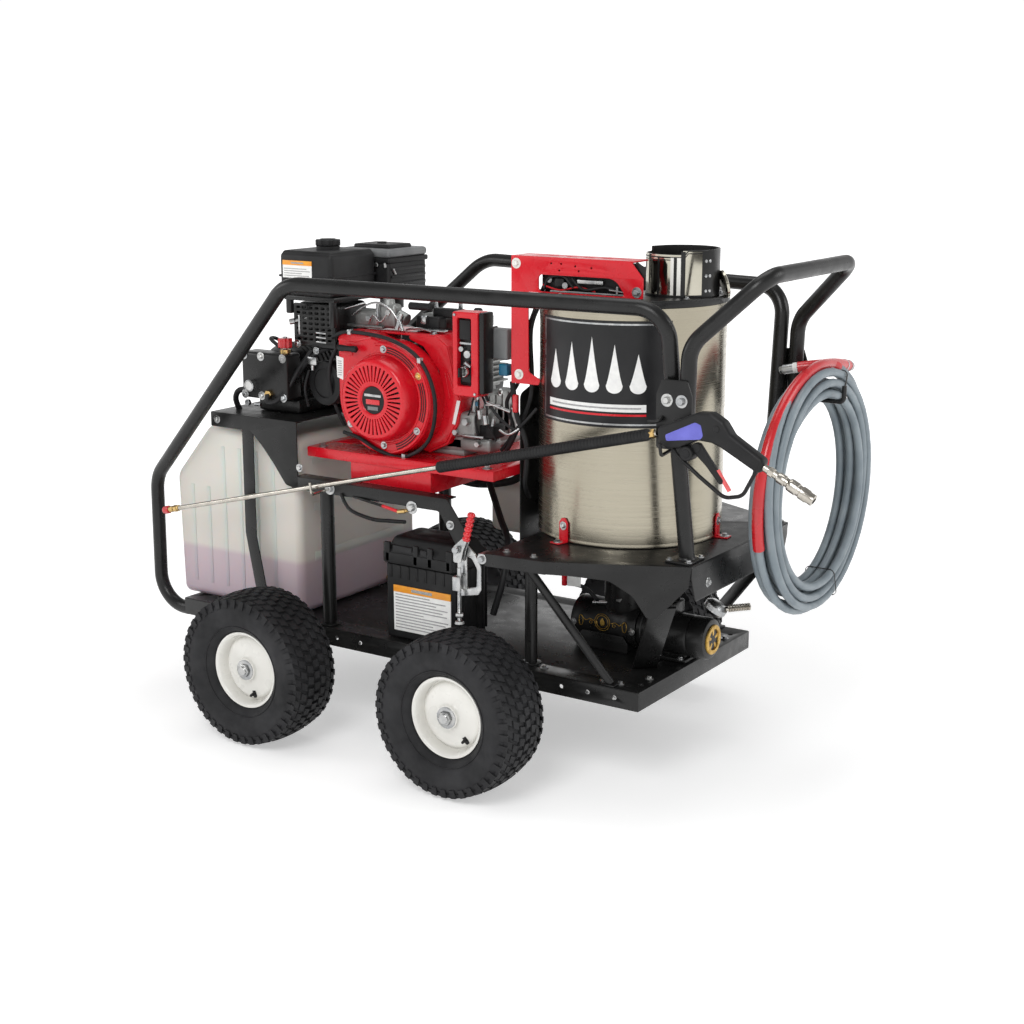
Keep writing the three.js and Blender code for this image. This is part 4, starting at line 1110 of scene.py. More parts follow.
lever.add(RED_PLASTIC, turned([*beads, (0, 74)], 28, start, stop - start))
lever.done()

# ---- lance, nozzle and gun ----
LANCE_A, LANCE_B = Vector((-905, -332, 540)), Vector((634, -345, 917))


def lance_at(t):
    """The point at that share of the lance's length from its tip."""
    return LANCE_A + (LANCE_B - LANCE_A) * t


along_lance = (LANCE_B - LANCE_A).normalized()
lance = Piece("spray_lance", "chrome", "lance", body="gun")
lance.add(NICKEL, rod(lance_at(0.006), lance_at(0.999), 6.4))
ribs = [(0, 0), (9, 0), (13, 4)]
length = (LANCE_B - LANCE_A).length * 0.385
for k in range(int(length / 9)):
    ribs += [(14.2, 6 + 9 * k), (14.2, 11 + 9 * k), (13.2, 12 + 9 * k), (13.2, 14 + 9 * k)]
lance.add(PLASTIC, turned([*ribs, (9, length + 8), (0, length + 8)], 28, lance_at(0.6), along_lance))
lance.add(BRASS, turned([(0, 0), (10, 0), (10.6, 1), (10.6, 15), (10, 16), (0, 16)], 6, lance_at(0.985),
                        along_lance), hexagon(lance_at(0.0066), lance_at(0.014), 9.6),
          rod(lance_at(0.0155), lance_at(0.0185), 8.4))
lance.add(ZINC, hexagon(lance_at(0.976), lance_at(0.985), 9.5))
lance.done()
nozzle = Piece("spray_nozzle", "brass", "nozzle", body="nozzle_tip")
nozzle.add(RED_PLASTIC, turned([(0, 0), (8, 0), (10, 2), (11, 5), (11, 20), (9.5, 22), (0, 22)], 28,
                               lance_at(-0.0198), along_lance))
nozzle.add(BRASS,
           turned([(0, 22), (8, 22), (8.6, 24), (8.6, 39), (0, 39.6)], 24, lance_at(-0.0198), along_lance))
nozzle.add(PLASTIC, rod(lance_at(-0.02), lance_at(-0.0195), 3))
nozzle.done()

gun = Piece("spray_gun", "black_plastic", "gun_body", body="gun")
GUN_Y = -350
shape = rounded([(646, 900), (640, 932), (700, 958), (742, 977), (775, 979), (806, 962), (826, 934),
                 (906, 886), (893, 854), (796, 905), (775, 912), (742, 914), (700, 893), (664, 887)],
                [6, 12, 30, 16, 14, 14, 20, 12, 10, 14, 12, 12, 16, 10], 8)
gun.add(PLASTIC, standing(shape, GUN_Y, 33.6, 9, rounding=5))
inset = rounded([(667, 906), (664, 920), (738, 955), (752, 950), (758, 926), (752, 918)], [4, 5, 8, 6, 8, 8],
                5)
for s in (-1, 1):
    gun.add(VIOLET, standing(inset, GUN_Y + s * 16, 3, 1))
    gun.add(PLASTIC,
            standing(rounded([(822, 925), (896, 884), (888, 866), (812, 908)], 6), GUN_Y + s * 16, 3, 1.2),
            turned([(0, 0), (8, 0), (7, 1.6), (0, 2.4)], 20, (790, GUN_Y + s * 16.6, 945), (0, s, 0)))
guard = bent([(672, GUN_Y, 892), (688, GUN_Y, 872), (742, GUN_Y, 832), (806, GUN_Y, 790), (850, GUN_Y, 800),
              (882, GUN_Y, 862)], [10, 24, 34, 28], 8)
gun.add(PLASTIC, sweep(guard, 5.6, 16, flat=0.8), turned(
    [(0, -16), (15, -16), (17, -13), (17, 13), (15, 16), (0, 16)], 32, (716, GUN_Y, 882), (0, 1, 0)))
gun.add(RUBBER, turned([(0, 0), (10, 0), (9, 1.5), (0, 2)], 24, (716, GUN_Y - 16, 882), (0, -1, 0)))
inlet = [Vector((888, GUN_Y, 875)), Vector((957, GUN_Y, 841)), Vector((1017.5, GUN_Y, 810))]
way = (inlet[1] - inlet[0]).normalized()
gun.add(NICKEL, rod(inlet[0], inlet[1], 8.6), hexagon(inlet[0] + way * 26, inlet[0] + way * 38, 11.5),
        turned([(0, 0), (9, 0), (12, 4), (12, 20), (10, 22), (10, 28), (0, 28)], 28, inlet[0] + way * 48,
               way))
way = (inlet[2] - inlet[1]).normalized()
coupler = [(0, 0), (11, 0), (14, 3), (14.6, 8), (14.6, 24), (12.6, 26), (12.6, 32), (14.8, 34), (14.8, 50),
           (13, 54), (13, 66), (10, 67.4), (7, 67.4), (7, 56), (0, 56)]
gun.add(NICKEL, turned(coupler, 36, inlet[1], way))
gun.done(40)
trigger = Piece("gun_trigger_lever", "black_plastic", "gun_trigger", body="trigger")
blade = rounded([(728, 902), (744, 908), (772, 872), (806, 828), (796, 818), (760, 858), (730, 884)],
                [5, 6, 30, 5, 5, 30, 6], 6)
trigger.add(PLASTIC, standing(blade, GUN_Y, 12, 3, rounding=3),
            rod((736, GUN_Y - 7.6, 896), (736, GUN_Y + 7.6, 896), 11))
trigger.add(PINK, tube([(788, GUN_Y, 851), (799, GUN_Y, 834), (809, GUN_Y, 820), (818, GUN_Y, 807)], 5, 14))
trigger.done()

# ---- engine: castings, fan housing, recoil starter; both shafts lie along Y ----
CX, CZ = -242, 896
PUMP_X, PUMP_Z = -610, 930


def arc(r, a0, a1, y, step=4, x=CX, z=CZ):
    """Points on a circle in an upright plane; angles in degrees from +X."""
    count = max(2, round(abs(a1 - a0) / step))
    return [(x + r * math.cos(math.radians(a0 + (a1 - a0) * k / count)), y,
             z + r * math.sin(math.radians(a0 + (a1 - a0) * k / count))) for k in range(count + 1)]


engine = Piece("engine_casting", "alloy", "engine_block")
engine.add(ALLOY, *blocks((-362, -52, -126, 128, 752, 862, 10, 3), (-365, -50, -128, 138, 750.4, 764, 3),
                          (-90, -52, -110, 110, 776, 900, 12, 3), (-340, -120, -60, 128, 855, 905, 12, 3)),
           *[block(-300 + (k > 5) * 8, -90, -34, 138, 912 + 14 * k, 917 + 14 * k, 1.5) for k in range(9)],
           *blocks((-284, -106, -20, 126, 900, 1040, 6), (-296, -94, -30, 134, 1036, 1054, 4),
                   (-270, -120, -24, 120, 1052, 1097, 12, 3)),
           turned([(0, 0), (60, 0), (60, 14), (52, 19), (20, 20), (0, 20)], 48, (CX, 138, CZ), (0, 1, 0)))
for k in range(7):
    engine.add(ALLOY, *blocks((-54, -49.6, -100 + 30 * k, -94 + 30 * k, 772, 892, 1),
                              (-330 + 40 * k, -326 + 40 * k, 126, 138, 760, 860, 1)))
engine.add(ZINC, *bolts([(-52, y, z) for y, z in
                         ((-112, 776), (-112, 850), (-40, 896), (40, 896), (100, 850), (100, 776), (0, 776))],
                        (1, 0, 0), 10),
           *bolts([(x, y, 764) for x in (-340, -70) for y in (-105, 110)], (0, 0, 1), 13))
engine.add(ALLOY, *blocks((-120, 28, -126, -70, 764, 800, 8, 3), (-90, -8, -140, -96, 800, 868, 10, 3)),
           turned([(0, 0), (28, 0), (31, 4), (31, 86), (26, 92), (12, 94), (12, 104), (0, 105)], 40,
                  (-82, -84, 838), (1, 0, 0.06)))
engine.add(ZINC, *hexagons(((-30, -140, 846), (-30, -156, 846), 10), ((-66, -140, 815), (-66, -150, 815), 8),
                           ((-4, -126, 788), (-4, -140, 788), 8)),
           *rods(((-24, -118, 868), (-24, -118, 900), 8), ((18, -110, 790), (30, -110, 856), 5)),
           block(-46, 20, -144, -140, 806, 812, 1.5))
engine.add(PLASTIC, rod((-100, -120, 842), (-100, -134, 880), 12, 9),
           block(-12, 34, -118, -60, 800, 836, 6, 3),
           turned([(0, 0), (12, 0), (12, 18), (8, 22), (0, 22)], 24, (-100, 10, 1096), (0, 0, 1)))
engine.done()

house = Piece("fan_housing", "red_powder_coat", "fan_shroud")
edge = [(-390, 1060), (-300, 1060), *[(p[0], p[2]) for p in arc(149, 92, -180, 0, 6)]]
house.add(RED, standing(edge, -178.5, 62, 3, [ring_of(CX, CZ, 128, 56)], 2),
          standing(edge, -208.2, 16, 7.5, [ring_of(CX, CZ, 44, 40)], 5))
sheet_outer = [(-382, 1061), (-120, 1061), (-84, 1036), (-70, 985), (-62, 935), (-44, 902), (-56, 838),
               (-88, 782), (-150, 752)]
sheet = rounded([
    *sheet_outer, (-154, 758), (-94, 788), (-62, 842), (-51, 902), (-68, 938), (-76, 985), (-88, 1032),
    (-122, 1055), (-382, 1055)], 8, 3)
house.add(RED, standing(sheet, -94, 108, 1.2))
flange = rounded([(-240, 1058), (-122, 1058), (-86, 1034), (-72, 985), (-66, 936), (-48, 902), (-60, 840),
                  (-92, 786), (-154, 756), (-200, 770), (-110, 830), (-98, 900), (-110, 970), (-160, 1030)],
                 10, 3)
house.add(RED, standing(flange, -149, 5, 1.6, rounding=2),
          tube([(-91, -152, 968), (-82, -152, 925), (-77, -152, 904)], 2.2, 8),
          sweep([(-84, -152, 968), (-66, -152, 930), (-60, -152, 962)], 2, 8),
          block(-382, -310, -146, -40, 957, 1058, 8, 3), sweep(arc(141, 100, -130, -214), 5, 12),
          sweep(arc(116.5, 0, 360, -215)[:-1], 3.6, 12, closed=True),
          *[sweep(arc(r, a0, a1, -214), 2.6, 8) for a0, a1 in ((40, 86), (-24, 25)) for r in (118, 139)],
          sweep([(-388, -214, 1040), (-330, -214, 1038), (-280, -214, 1052)], 3.2, 10),
          block(-386, -340, -219, -212, 1000, 1012, 3))
for a0, a1 in ((42, 84), (-22, 23), (-72, -38)):
    house.add(GRAPHITE, *[sweep(arc(r, a0, a1, -215.6), 1.9, 8) for r in (122.5, 128.5, 134.5)])
for x, z in ((-129, 964), (-135, 822), (CX, 774), (-239, 1025), (-352, 820)):
    house.add(RED, turned([(0, 0), (13, 0), (11, 5), (0, 5)], 24, (x, -213, z), (0, -1, 0)))
    house.add(BRASS if z == 964 else ZINC, *bolt((x, -217.5, z), (0, -1, 0), 10))
quad = [(-396, 996), (-372, 992), (-374, 934), (-394, 940)]
house.add(LABEL, standing(quad, -216.5, 1.2, 0.3),
          standing(rounded([(-44, 900), (-55, 900), (-70, 838), (-61, 836)], 2), -152.2, 1.4, 0.3))
house.add(PRINT, *[block(-391, -378, -217.8, -216.8, z, z + 2, 0.2) for z in range(946, 988, 6)])
loop = smooth([(-420, -200, 1040), (-394, -221, 1050), (-343, -222, 1063), (-213, -222, 1052),
               (-119, -222, 1006), (-74, -222, 911), (-93, -222, 806), (-172, -222, 751), (-250, -222, 758),
               (-320, -223, 786), (-372, -222, 796)], step=8)
house.add(RUBBER, sweep(loop, 5.2, 12))
house.add(ZINC, *[
    block(x - 6, x + 6, -229, -215, z - 7, z + 7, 2) for x, z in ((-343, 1063), (-119, 1006), (-172, 753))])
house.done()

recoil = Piece("recoil_cover_grille", "red_powder_coat", "recoil_cover")
slots = []
for k in range(40):
    a = 2 * math.pi * k / 40
    c, s = (math.cos(a), math.sin(a))
    slots.append([(r * c - w * s, r * s + w * c) for r, w in
                  ((49, -1.4), (90, -2.6), (92, 0), (90, 2.6), (49, 1.4))])
AT = (CX, -216.4, CZ + 2)
face = slab(ring_of(0, 0, 97, 80), 5, 0.8, [*slots, ring_of(0, 0, 38, 40)])
recoil.add(RED, turned([(105, 0), (112.8, 0), (112.8, 3), (109, 28), (105, 40), (100, 45.5), (96, 47),
                        (90, 47), (90, 42), (98, 38), (102, 28)], 80, AT, (0, -1, 0), closed=True),
           placed(face, (CX, -261, CZ + 2), (0, -1, 0)), turned(
               [(36, 38), (44, 38), (45, 45), (42, 47.4), (39, 46.5), (36, 43)], 56, AT, (0, -1, 0),
               closed=True))
recoil.add(GRAPHITE, turned([(0, 22), (98, 22), (98, 25), (0, 25)], 60, AT, (0, -1, 0)))
recoil.add(PLASTIC, turned([(0, 36), (37.5, 36), (37.5, 42), (35, 44), (0, 44.6)], 48, AT, (0, -1, 0)))
recoil.add(ZINC, block(CX - 27, CX + 27, -262.6, -260.4, CZ + 11, CZ + 18, 1))
recoil.add(RED_PLASTIC, block(CX - 22, CX + 22, -262.4, -260.4, CZ - 9, CZ + 4, 1))
recoil.add(GREY_PLASTIC, block(CX - 17, CX + 17, -262.4, -260.4, CZ - 24, CZ - 14, 1))
for a in range(18, 360, 72):
    c, s = math.cos(math.radians(a)), math.sin(math.radians(a))
    recoil.add(ZINC, *bolt((CX + 106 * c, -231, CZ + 2 + 106 * s), (c, -0.4, s), 7, False))
recoil.done()
grip = Piece("recoil_handle", "black_plastic", "recoil_grip", body="starter_grip")
grip.add(PLASTIC, turned([(0, 0), (6, 0), (8.6, 3), (8.8, 12), (7.4, 22), (7.4, 38), (8.8, 48), (8.6, 57),
                          (6, 60), (0, 60)], 28, (-372, -235, 1021), (1, 0, 0)))
grip.add(RUBBER, rod((-342, -232, 1021), (-342, -217, 1021), 4))
grip.done()

# ---- cooling fan and engine shaft, pump pulley, belt and guard ----
shaft = Piece("flywheel_and_shaft", "alloy", "crankshaft", body="engine_shaft")
blades = []
for k in range(20):
    a = 2 * math.pi * k / 20
    blades.append(
        placed(slab(rounded([(60, -2), (114, -8), (116, -4), (62, 2)], 1), 26, 0.8), (CX, -181, CZ),
               (0, -1, 0), (math.cos(a), 0, math.sin(a))))
shaft.add(ALLOY, turned([(0, 0), (117, 0), (118, 2), (118, 26), (116, 28), (60, 30), (0, 30)], 72,
                        (CX, -152, CZ), (0, -1, 0)), *blades, rod((CX, -200, CZ), (CX, 206, CZ), 14),
          turned([(14, 0), (55, 0), (55, 3), (47, 10), (47, 16), (55, 23), (55, 26), (14, 26)], 56,
                 (CX, 176, CZ), (0, 1, 0), closed=True))
shaft.done()
pulley = Piece("pump_drive_pulley", "alloy", "pump_pulley", body="pump_shaft")
holes = [ring_of(60 * math.cos(a), 60 * math.sin(a), 16, 24) for a in np.linspace(0, 2 * math.pi, 6)[:-1]]
pulley.add(ALLOY, placed(slab(ring_of(0, 0, 80, 64), 8, 1, holes), (PUMP_X, 189, PUMP_Z), (0, 1, 0)),
           turned([(76, 0), (91, 0), (91, 3), (82, 10), (82, 16), (91, 23), (91, 26), (76, 26)], 72,
                  (PUMP_X, 176, PUMP_Z), (0, 1, 0), closed=True),
           turned([(0, 0), (26, 0), (26, 28), (20, 30), (0, 30)], 40, (PUMP_X, 176, PUMP_Z), (0, 1, 0)),
           rod((PUMP_X, -90, PUMP_Z), (PUMP_X, 206, PUMP_Z), 14))
pulley.done()


def round_the_pulleys(margin):
    """The belt's path as an outline that stands off both pulleys by the margin."""
    (ax, az, ra), (bx, bz, rb) = (CX, CZ, 56 + margin), (PUMP_X, PUMP_Z, 92 + margin)
    way = math.atan2(bz - az, bx - ax)
    lean = math.acos((ra - rb) / math.hypot(bx - ax, bz - az))
    first, last = math.degrees(way + lean), math.degrees(way - lean)
    return ([(p[0], p[2]) for p in arc(ra, first, last + 360, 0, 5)]
            + [(p[0], p[2]) for p in arc(rb, last, first, 0, 5, bx, bz)])


belt = Piece("v_belt", "belt_rubber", "drive_belt")
belt.add(RUBBER, placed(standing(round_the_pulleys(8.8), 0, 15, 2, [round_the_pulleys(0.6)]), (0, 188, 0)))
belt.done()
guard = Piece("belt_cover", "black_powder_coat", "belt_guard")
face_holes = [oblong(-560 + 52 * k, -540 + 52 * k, 880, 948, 8) for k in range(6)]
guard.add(BLACK, standing(round_the_pulleys(25.8), 190.5, 58, 1.5, [round_the_pulleys(22)], 2),
          standing(round_the_pulleys(25), 219.8, 3.6, 1.2, face_holes, 2))
guard.add(ZINC, *bolts([(x, 221.4, z) for x, z in ((-700, 1000), (-520, 1030), (-330, 975), (-330, 815))],
                       (0, 1, 0), 8, False))
guard.done()

# ---- petrol tank, air cleaner, silencer, carburettor and linkage ----
petrol = Piece("petrol_tank_moulding", "black_plastic", "petrol_tank")
petrol.add(PLASTIC, *blocks((-555, -378, -250, -64, 1149, 1262, 13, 5),
                            (-551, -382, -246, -68, 1190, 1266, 10, 4),
                            (-556, -377, -251, -63, 1197, 1203, 1.5)),
           turned([(24, 0), (31, 0), (31, 14), (24, 14)], 40, (-470, -150, 1260), closed=True))
petrol.add(LABEL, block(-541, -443, -251.6, -249.4, 1196, 1229, 0.4))
petrol.add(ORANGE, block(-541, -443, -251.9, -249.6, 1229, 1241, 0.4))
petrol.add(PRINT, *[
    block(-536, -536 + w, -252.2, -251.2, z, z + 2, 0.2) for z, w in
    ((1201, 84), (1207, 60), (1213, 88), (1219, 76))], block(-512, -470, -252.4, -251.4, 1233, 1237, 0.3))
petrol.add(BLACK, *blocks((-550, -380, -240, -76, 1136, 1149, 3), (-548, -530, -236, -222, 1100, 1149, 3),
                          (-402, -386, -236, -222, 1070, 1149, 3)))
petrol.done()
petrol_cap = Piece("petrol_filler_cap", "black_plastic", "petrol_cap", body="engine_tank_cap")
knurl = scalloped(lambda a: 33 * (1 - 0.07 * (math.cos(10 * a) > 0.4)), 120)
petrol_cap.add(
    PLASTIC, placed(slab(knurl, 16, 2.2, rounding=3), (-470, -150, 1283)),
    turned([(0, 0), (22, 0), (20, 3), (0, 3.4)], 32, (-470, -150, 1290)))
petrol_cap.done()

cleaner = Piece("air_cleaner_case", "black_plastic", "air_cleaner")
cleaner.add(PLASTIC,
            *blocks((-516, -342, -54, 113, 1130, 1232, 10, 4), (-520, -339, -58, 117, 1226, 1240, 4, 3)),
            rod((-400, 30, 1100), (-400, 30, 1132), 33))
cleaner.add(GREY_PLASTIC, block(-519, -340, -57, 116, 1240, 1262, 9, 4))
cleaner.add(PLASTIC, block(-490, -366, -20, 80, 1256, 1272, 6, 4),
            rod((-430, 30, 1270), (-430, 30, 1276), 13, sides=8),
            *[block(-341.5, -338.6, -46, 104, 1146 + 20 * k, 1154 + 20 * k, 1) for k in range(4)])
cleaner.add(ZINC, *rods(((-380, -58.6, 1222), (-380, -62, 1222), 6),
                        ((-352, -58, 1216), (-352, -61, 1228), 4),
                        ((-339.5, -40, 1212), (-337.5, -32, 1196), 3)),
            block(-430, -396, -60.5, -57, 1232, 1236, 1))
cleaner.done()

silencer = Piece("silencer", "black_powder_coat", "muffler")
silencer.add(BLACK, block(-554, -417, -186, -52, 1012, 1126, 14, 4))
panel = [oblong(-546 + 21 * i, -533 + 21 * i, z, z + 6, 2.8) for i in range(6) for z in range(1026, 1112, 14)]
silencer.add(BLACK, standing(oblong(-556, -415, 1010, 1124, 6), -194.4, 3, 1, panel),
             rod((-450, -60, 1060), (-450, -44, 1060), 14), block(-556, -552, -192, -140, 1018, 1118, 1.5),
             turned([(13, 0), (17, 0), (17, 26), (13, 26)], 28, (-500, -120, 1100), (0, 0, 1), closed=True))
silencer.add(ZINC, *bolt((-545, -196, 1015), (0, -1, 0), 11),
             *[block(-480, -446, -197.4, -195.6, z, z + 4, 1) for z in (1022, 1034, 1046)],
             block(-540, -534, -197.4, -195.6, 1040, 1092, 1))
silencer.done()

carb = Piece("carburettor_and_linkage", "zinc")
carb.add(ZINC, *rods(((-556, -196, 1074), (-420, -150, 1112), 5),
                     ((-420, -150, 1112), (-372, -120, 1127), 3.4),
                     ((-566, -201, 1072), (-552, -195, 1075), 8)), *bolt((-478, -200, 1001), (0, -1, 0), 10),
         block(-506, -474, -206, -198, 962, 984, 4), rod((-490, -202, 962), (-490, -202, 948), 5))
carb.add(ALLOY, block(-396, -316, -142, -96, 1066, 1112, 9, 3),
         turned([(0, 0), (30, 0), (30, 24), (24, 30), (0, 30)], 36, (-350, -120, 1060), (0, 0, -1)),
         block(-330, -262, -136, -100, 1066, 1130, 10, 3), *rods(
             ((-296, -118, 1126), (-296, -118, 1142), 18, 15), ((-262, -118, 1100), (-236, -118, 1090), 16)),
         block(-420, -300, -144, -112, 1064, 1072, 3))
carb.add(ZINC, block(-318, -310, -146, -136, 1074, 1130, 2),
         *hexagons(((-345, -146, 1090), (-345, -136, 1090), 8), ((-284, -140, 1108), (-284, -132, 1108), 9)),
         *rods(((-250, -146, 1066), (-240, -138, 1108), 6), ((-226, -150, 1064), (-248, -140, 1102), 4)),
         tube([(-396, -146, 1096), (-352, -152, 1122), (-306, -150, 1134), (-262, -146, 1112),
               (-236, -144, 1070)], 2.6, 8),
         tube([(-340, -148, 1076), (-322, -152, 1100), (-300, -150, 1084), (-280, -150, 1104)], 2, 8),
         *blocks((-226, -118, -124, -100, 1066, 1071, 2), (-202, -184, -108, -92, 1080, 1104, 4),
                 (-152, -136, -140, -108, 1036, 1062, 3)), *rods(
                     ((-144, -124, 1036), (-144, -124, 1066), 10, 6),
                     ((-118, -140, 1040), (-98, -140, 1026), 8, 6)),
         tube([(-232, -128, 1066), (-190, -132, 1074), (-150, -130, 1066)], 2.4, 8))
carb.add(PLASTIC, *blocks((-226, -150, -96, -60, 1062, 1100, 6, 3), (-190, -100, -70, -40, 1096, 1120, 5, 3)),
         rod((-226, -118, 1128), (-160, -118, 1128), 10), turned(
             [(40, 0), (58, 0), (60, 4), (60, 60), (52, 68), (40, 70)], 48, (-455, -196, 915), (0.1, 1, 0),
             closed=True), rod((-455, -190, 915), (-455, -130, 915), 41),
         block(-420, -396, -190, -150, 940, 1010, 6, 3))
carb.add(RUBBER, tube([(-430, -150, 1010), (-470, -190, 1000), (-520, -200, 960), (-560, -206, 905),
                       (-600, -200, 870)], 6, 10), tube([(-396, -130, 1066), (-410, -180, 1030),
                                                         (-432, -202, 960), (-434, -190, 880),
                                                         (-420, -160, 800)], 5, 10),
         tube([(-500, -205, 948), (-510, -212, 900), (-506, -205, 850)], 3.6, 8))
carb.done()

switches = Piece("switch_housing", "red_powder_coat", "switch_box")
recess = rounded([(-20, 948), (22, 948), (22, 1118), (-20, 1118)], 4)
switches.add(RED, standing(oblong(-34, 43, 922, 1134, 7), -188, 24, 3, [recess], 3),
             block(-34, 43, -180, -148, 922, 1134, 4, 3))
switches.add(GRAPHITE, block(-21, 23, -184, -178, 947, 1119, 1))
switches.add(PLASTIC, *blocks((-16, 18, -196, -183, 1064, 1114, 3), (-14, 16, -192, -183, 956, 1000, 3)))
switches.add(ZINC, block(-18, 20, -194, -183, 1052, 1058, 1.5), *rods(
    ((-12, -195, 1040), (-12, -183, 1040), 7), ((8, -197, 1028), (8, -183, 1028), 10),
    ((2, -197, 1008), (14, -190, 996), 6)),
             *bolts([(-26, -200, 1126), (35, -200, 930)], (0, -1, 0), 7, False))
switches.add(BLACK, block(43, 58, -196, -150, 930, 1134, 4, 3))
switches.done()
key = Piece("start_key", "chrome", "ignition_key", body="key")
key.add(ZINC, turned([(0, 0), (14, 0), (14, 6), (12, 9), (0, 10)], 32, (4, -200.4, 985), (0, -1, 0)),
        block(2.4, 5.6, -214, -209, 978, 992, 1))
key.add(PLASTIC, block(1, 7, -228, -212, 973, 997, 2.6, 3))
key.done()
for name, body, node, x in (("throttle_control", "throttle", "throttle_lever", -210),
                            ("choke_control", "choke", "choke_lever", -130)):
    arm = Piece(name, "zinc", node, body=body)
    arm.add(ZINC, rod((x, -30.6, 1107.5), (x, -15, 1107.5), 9),
            standing(rounded([(x - 7, 1104), (x + 7, 1104), (x + 4, 1150), (x - 4, 1150)], 2), -26.6, 5, 1))
    arm.add(PLASTIC, block(x - 5.4, x + 5.4, -31, -21.5, 1138, 1159, 3, 3))
    arm.done()

# ---- pump with its unloader, gauge and hoses ----
pump = Piece("high_pressure_pump", "black_powder_coat", "pump_body")
pump.add(BLACK, *blocks((-690, -545, -198, 58, 823, 862, 8, 3), (-676, -559, -180, 40, 858, 880, 6)),
         turned([(0, 0), (60, 0), (72, 5), (76, 14), (76, 140), (70, 150), (70, 250), (76, 258), (76, 300),
                 (70, 309), (18, 310), (18, 290), (0, 290)], 64, (PUMP_X, -190, PUMP_Z), (0, 1, 0)),
         block(-700, -540, -252, -188, 864, 990, 9, 3))
for k in range(6):
    pump.add(BLACK, turned([(74, 0), (78, 1), (78, 4), (74, 5)], 56, (PUMP_X, -150 + 18 * k, PUMP_Z),
                           (0, 1, 0), closed=True))
pump.add(BRASS, rod((-570, -218, 985), (-570, -218, 1000), 14),
         *hexagons(((-695, -220, 880), (-712, -220, 880), 12), ((-600, -252, 880), (-600, -262, 880), 12)))
pump.add(ZINC,
         turned([(0, 0), (16, 0), (16, 16), (13, 18), (13, 16), (0, 16)], 36, (-660, -252, 900), (0, -1, 0)),
         *bolts([(x, -252, z) for x in (-688, -628, -552) for z in (874, 980)], (0, -1, 0), 12),
         hexagon((-675, -252, 852), (-675, -262, 852), 9), rod((-652, -253, 848), (-630, -256, 850), 5))
pump.add(LABEL, turned([(0, 15.4), (12.6, 15.4), (12.6, 16.2), (0, 16.2)], 32, (-660, -252, 900), (0, -1, 0)))
pump.add(RUBBER, tube([(-600, -262, 880), (-592, -270, 862), (-566, -262, 868), (-545, -236, 905),
                       (-532, -210, 948), (-500, -190, 1000)], 6.5, 12),
         tube([(-712, -220, 880), (-742, -222, 872), (-756, -215, 840), (-740, -190, 790), (-690, -150, 760)],
              8, 12),
         tube([(-640, -120, 990), (-660, -150, 1015), (-640, -196, 1020), (-600, -205, 1002)], 5, 10))
pump.done()
unloader = Piece("unloader_adjuster", "red_powder_coat", "unloader_knob", body="pressure_knob")
lobes = scalloped(lambda a: 19.6 * (1 - 0.06 * math.cos(10 * a)) / 1.06, 120)
unloader.add(RED_PLASTIC, placed(slab(lobes, 26, 3, rounding=3), (-570, -218, 1017)))
unloader.add(ZINC, rod((-570, -218, 1000.4), (-570, -218, 1033.8), 6))
unloader.done()

# ---- wiring and fuel lines between the engine and the heater ----
loom = Piece("wiring_and_lines", "black_plastic")
loom.add(RUBBER, *[
    tube(p, r, 8) for p, r in (([(9, -150, 925), (12, -152, 890), (-4, -142, 850), (0, -130, 800)], 3),
                               ([(18, -150, 925), (40, -156, 890), (30, -140, 850), (44, -120, 800)], 3),
                               ([(30, -150, 925), (60, -150, 880), (110, -152, 846), (136, -150, 850),
                                 (180, -140, 900)], 4),
                               ([(-2, -150, 925), (-10, -150, 890), (-30, -138, 862)], 2.4),
                               ([(60, -100, 770), (100, -120, 820), (150, -120, 930), (150, -120, 1100),
                                 (200, -120, 1196)], 6), ([(40, -90, 770), (84, -100, 830), (70, -110, 900),
                                                           (110, -116, 960), (128, -120, 1060),
                                                           (180, -110, 1200)], 5),
                               ([(110, -60, 640), (140, -130, 700), (150, -140, 800), (120, -140, 880),
                                 (100, -130, 960)], 7))])
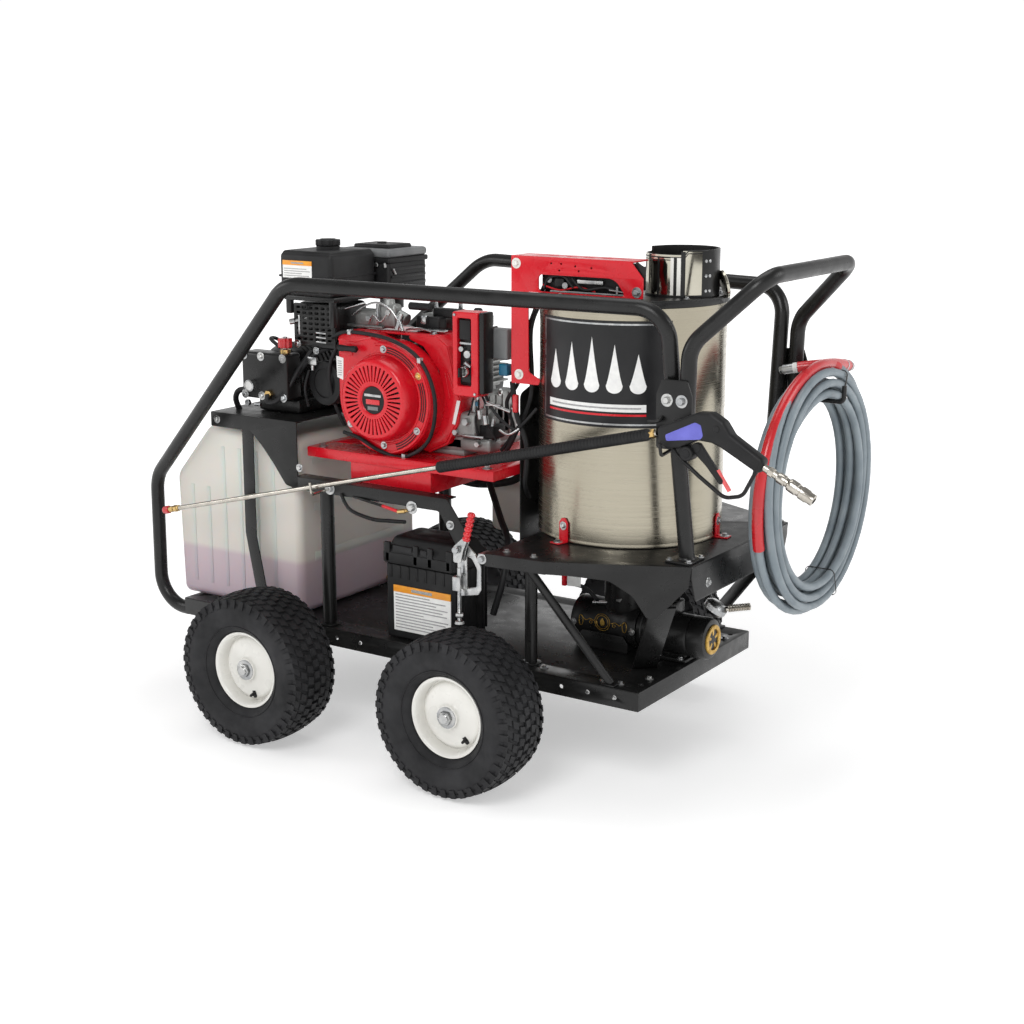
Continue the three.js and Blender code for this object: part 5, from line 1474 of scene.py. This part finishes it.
loom.add(ZINC, *rods(((12, -153, 924), (10, -153, 908), 4), ((14, -152, 882), (16, -152, 858), 7, 5),
                     ((40, -156, 905), (112, -156, 887), 4), ((38, -157, 898), (84, -157, 902), 3),
                     ((30, -150, 870), (34, -150, 846), 7)),
         tube([(76, -152, 836), (104, -154, 828), (136, -152, 846)], 3, 8))
loom.add(BLUE, block(78, 104, -160, -136, 976, 1006, 4, 3), rod((8, -153, 903), (8, -152, 892), 5))
loom.add(GREY_PLASTIC, block(52, 98, -150, -118, 1014, 1092, 6, 3),
         rod((52, -130, 1078), (46, -130, 1094), 8))
loom.add(RED_PLASTIC, block(112, 126, -150, -136, 884, 930, 4, 3))
loom.done()

shield = Piece("loom_shield", "black_powder_coat")
shield.add(BLACK, placed(
    slab(rounded([(-130, 546), (75, 546), (75, 930), (-40, 960), (-130, 930)], [3, 3, 20, 20, 20]), 3, 0.8),
    (124, 0, 0), (1, 0, 0), (0, 1, 0)), block(122, 150, -130, 75, 543.6, 547, 1))
shield.add(ZINC, *bolts([(122, y, z) for y, z in
                         ((-110, 900), (-110, 760), (-110, 610), (55, 900), (55, 610))], (-1, 0, 0), 9))
shield.done()
lines = Piece("water_lines", "hose_rubber")
lines.add(RUBBER, *[
    sweep(smooth(p, step=12), r, 12) for p, r in (
        ([(-560, 110, 850), (-470, 215, 740), (-330, 245, 640), (-150, 235, 590), (-20, 190, 575),
          (60, 120, 600), (118, 60, 660)], 13), (
              [(-560, 60, 836), (-440, 190, 700), (-300, 205, 600), (-120, 170, 620), (10, 120, 680),
               (70, 60, 650), (116, 0, 600)], 11), ([(-365, 40, 790), (-420, 120, 720), (-300, 170, 660),
                                                     (-130, 150, 700), (20, 90, 640), (90, 20, 560),
                                                     (140, -10, 552)], 9),
        ([(-100, 60, 640), (-30, 10, 560), (40, -60, 520), (60, -110, 440), (40, -130, 340)], 9))])
lines.add(ZINC, *hexagons(((112, 58, 655), (122, 62, 668), 16), ((110, 0, 604), (122, 0, 598), 14)))
lines.add(POLY, block(-190, 60, 190, 330, 470, 610, 22, 4))
lines.done()
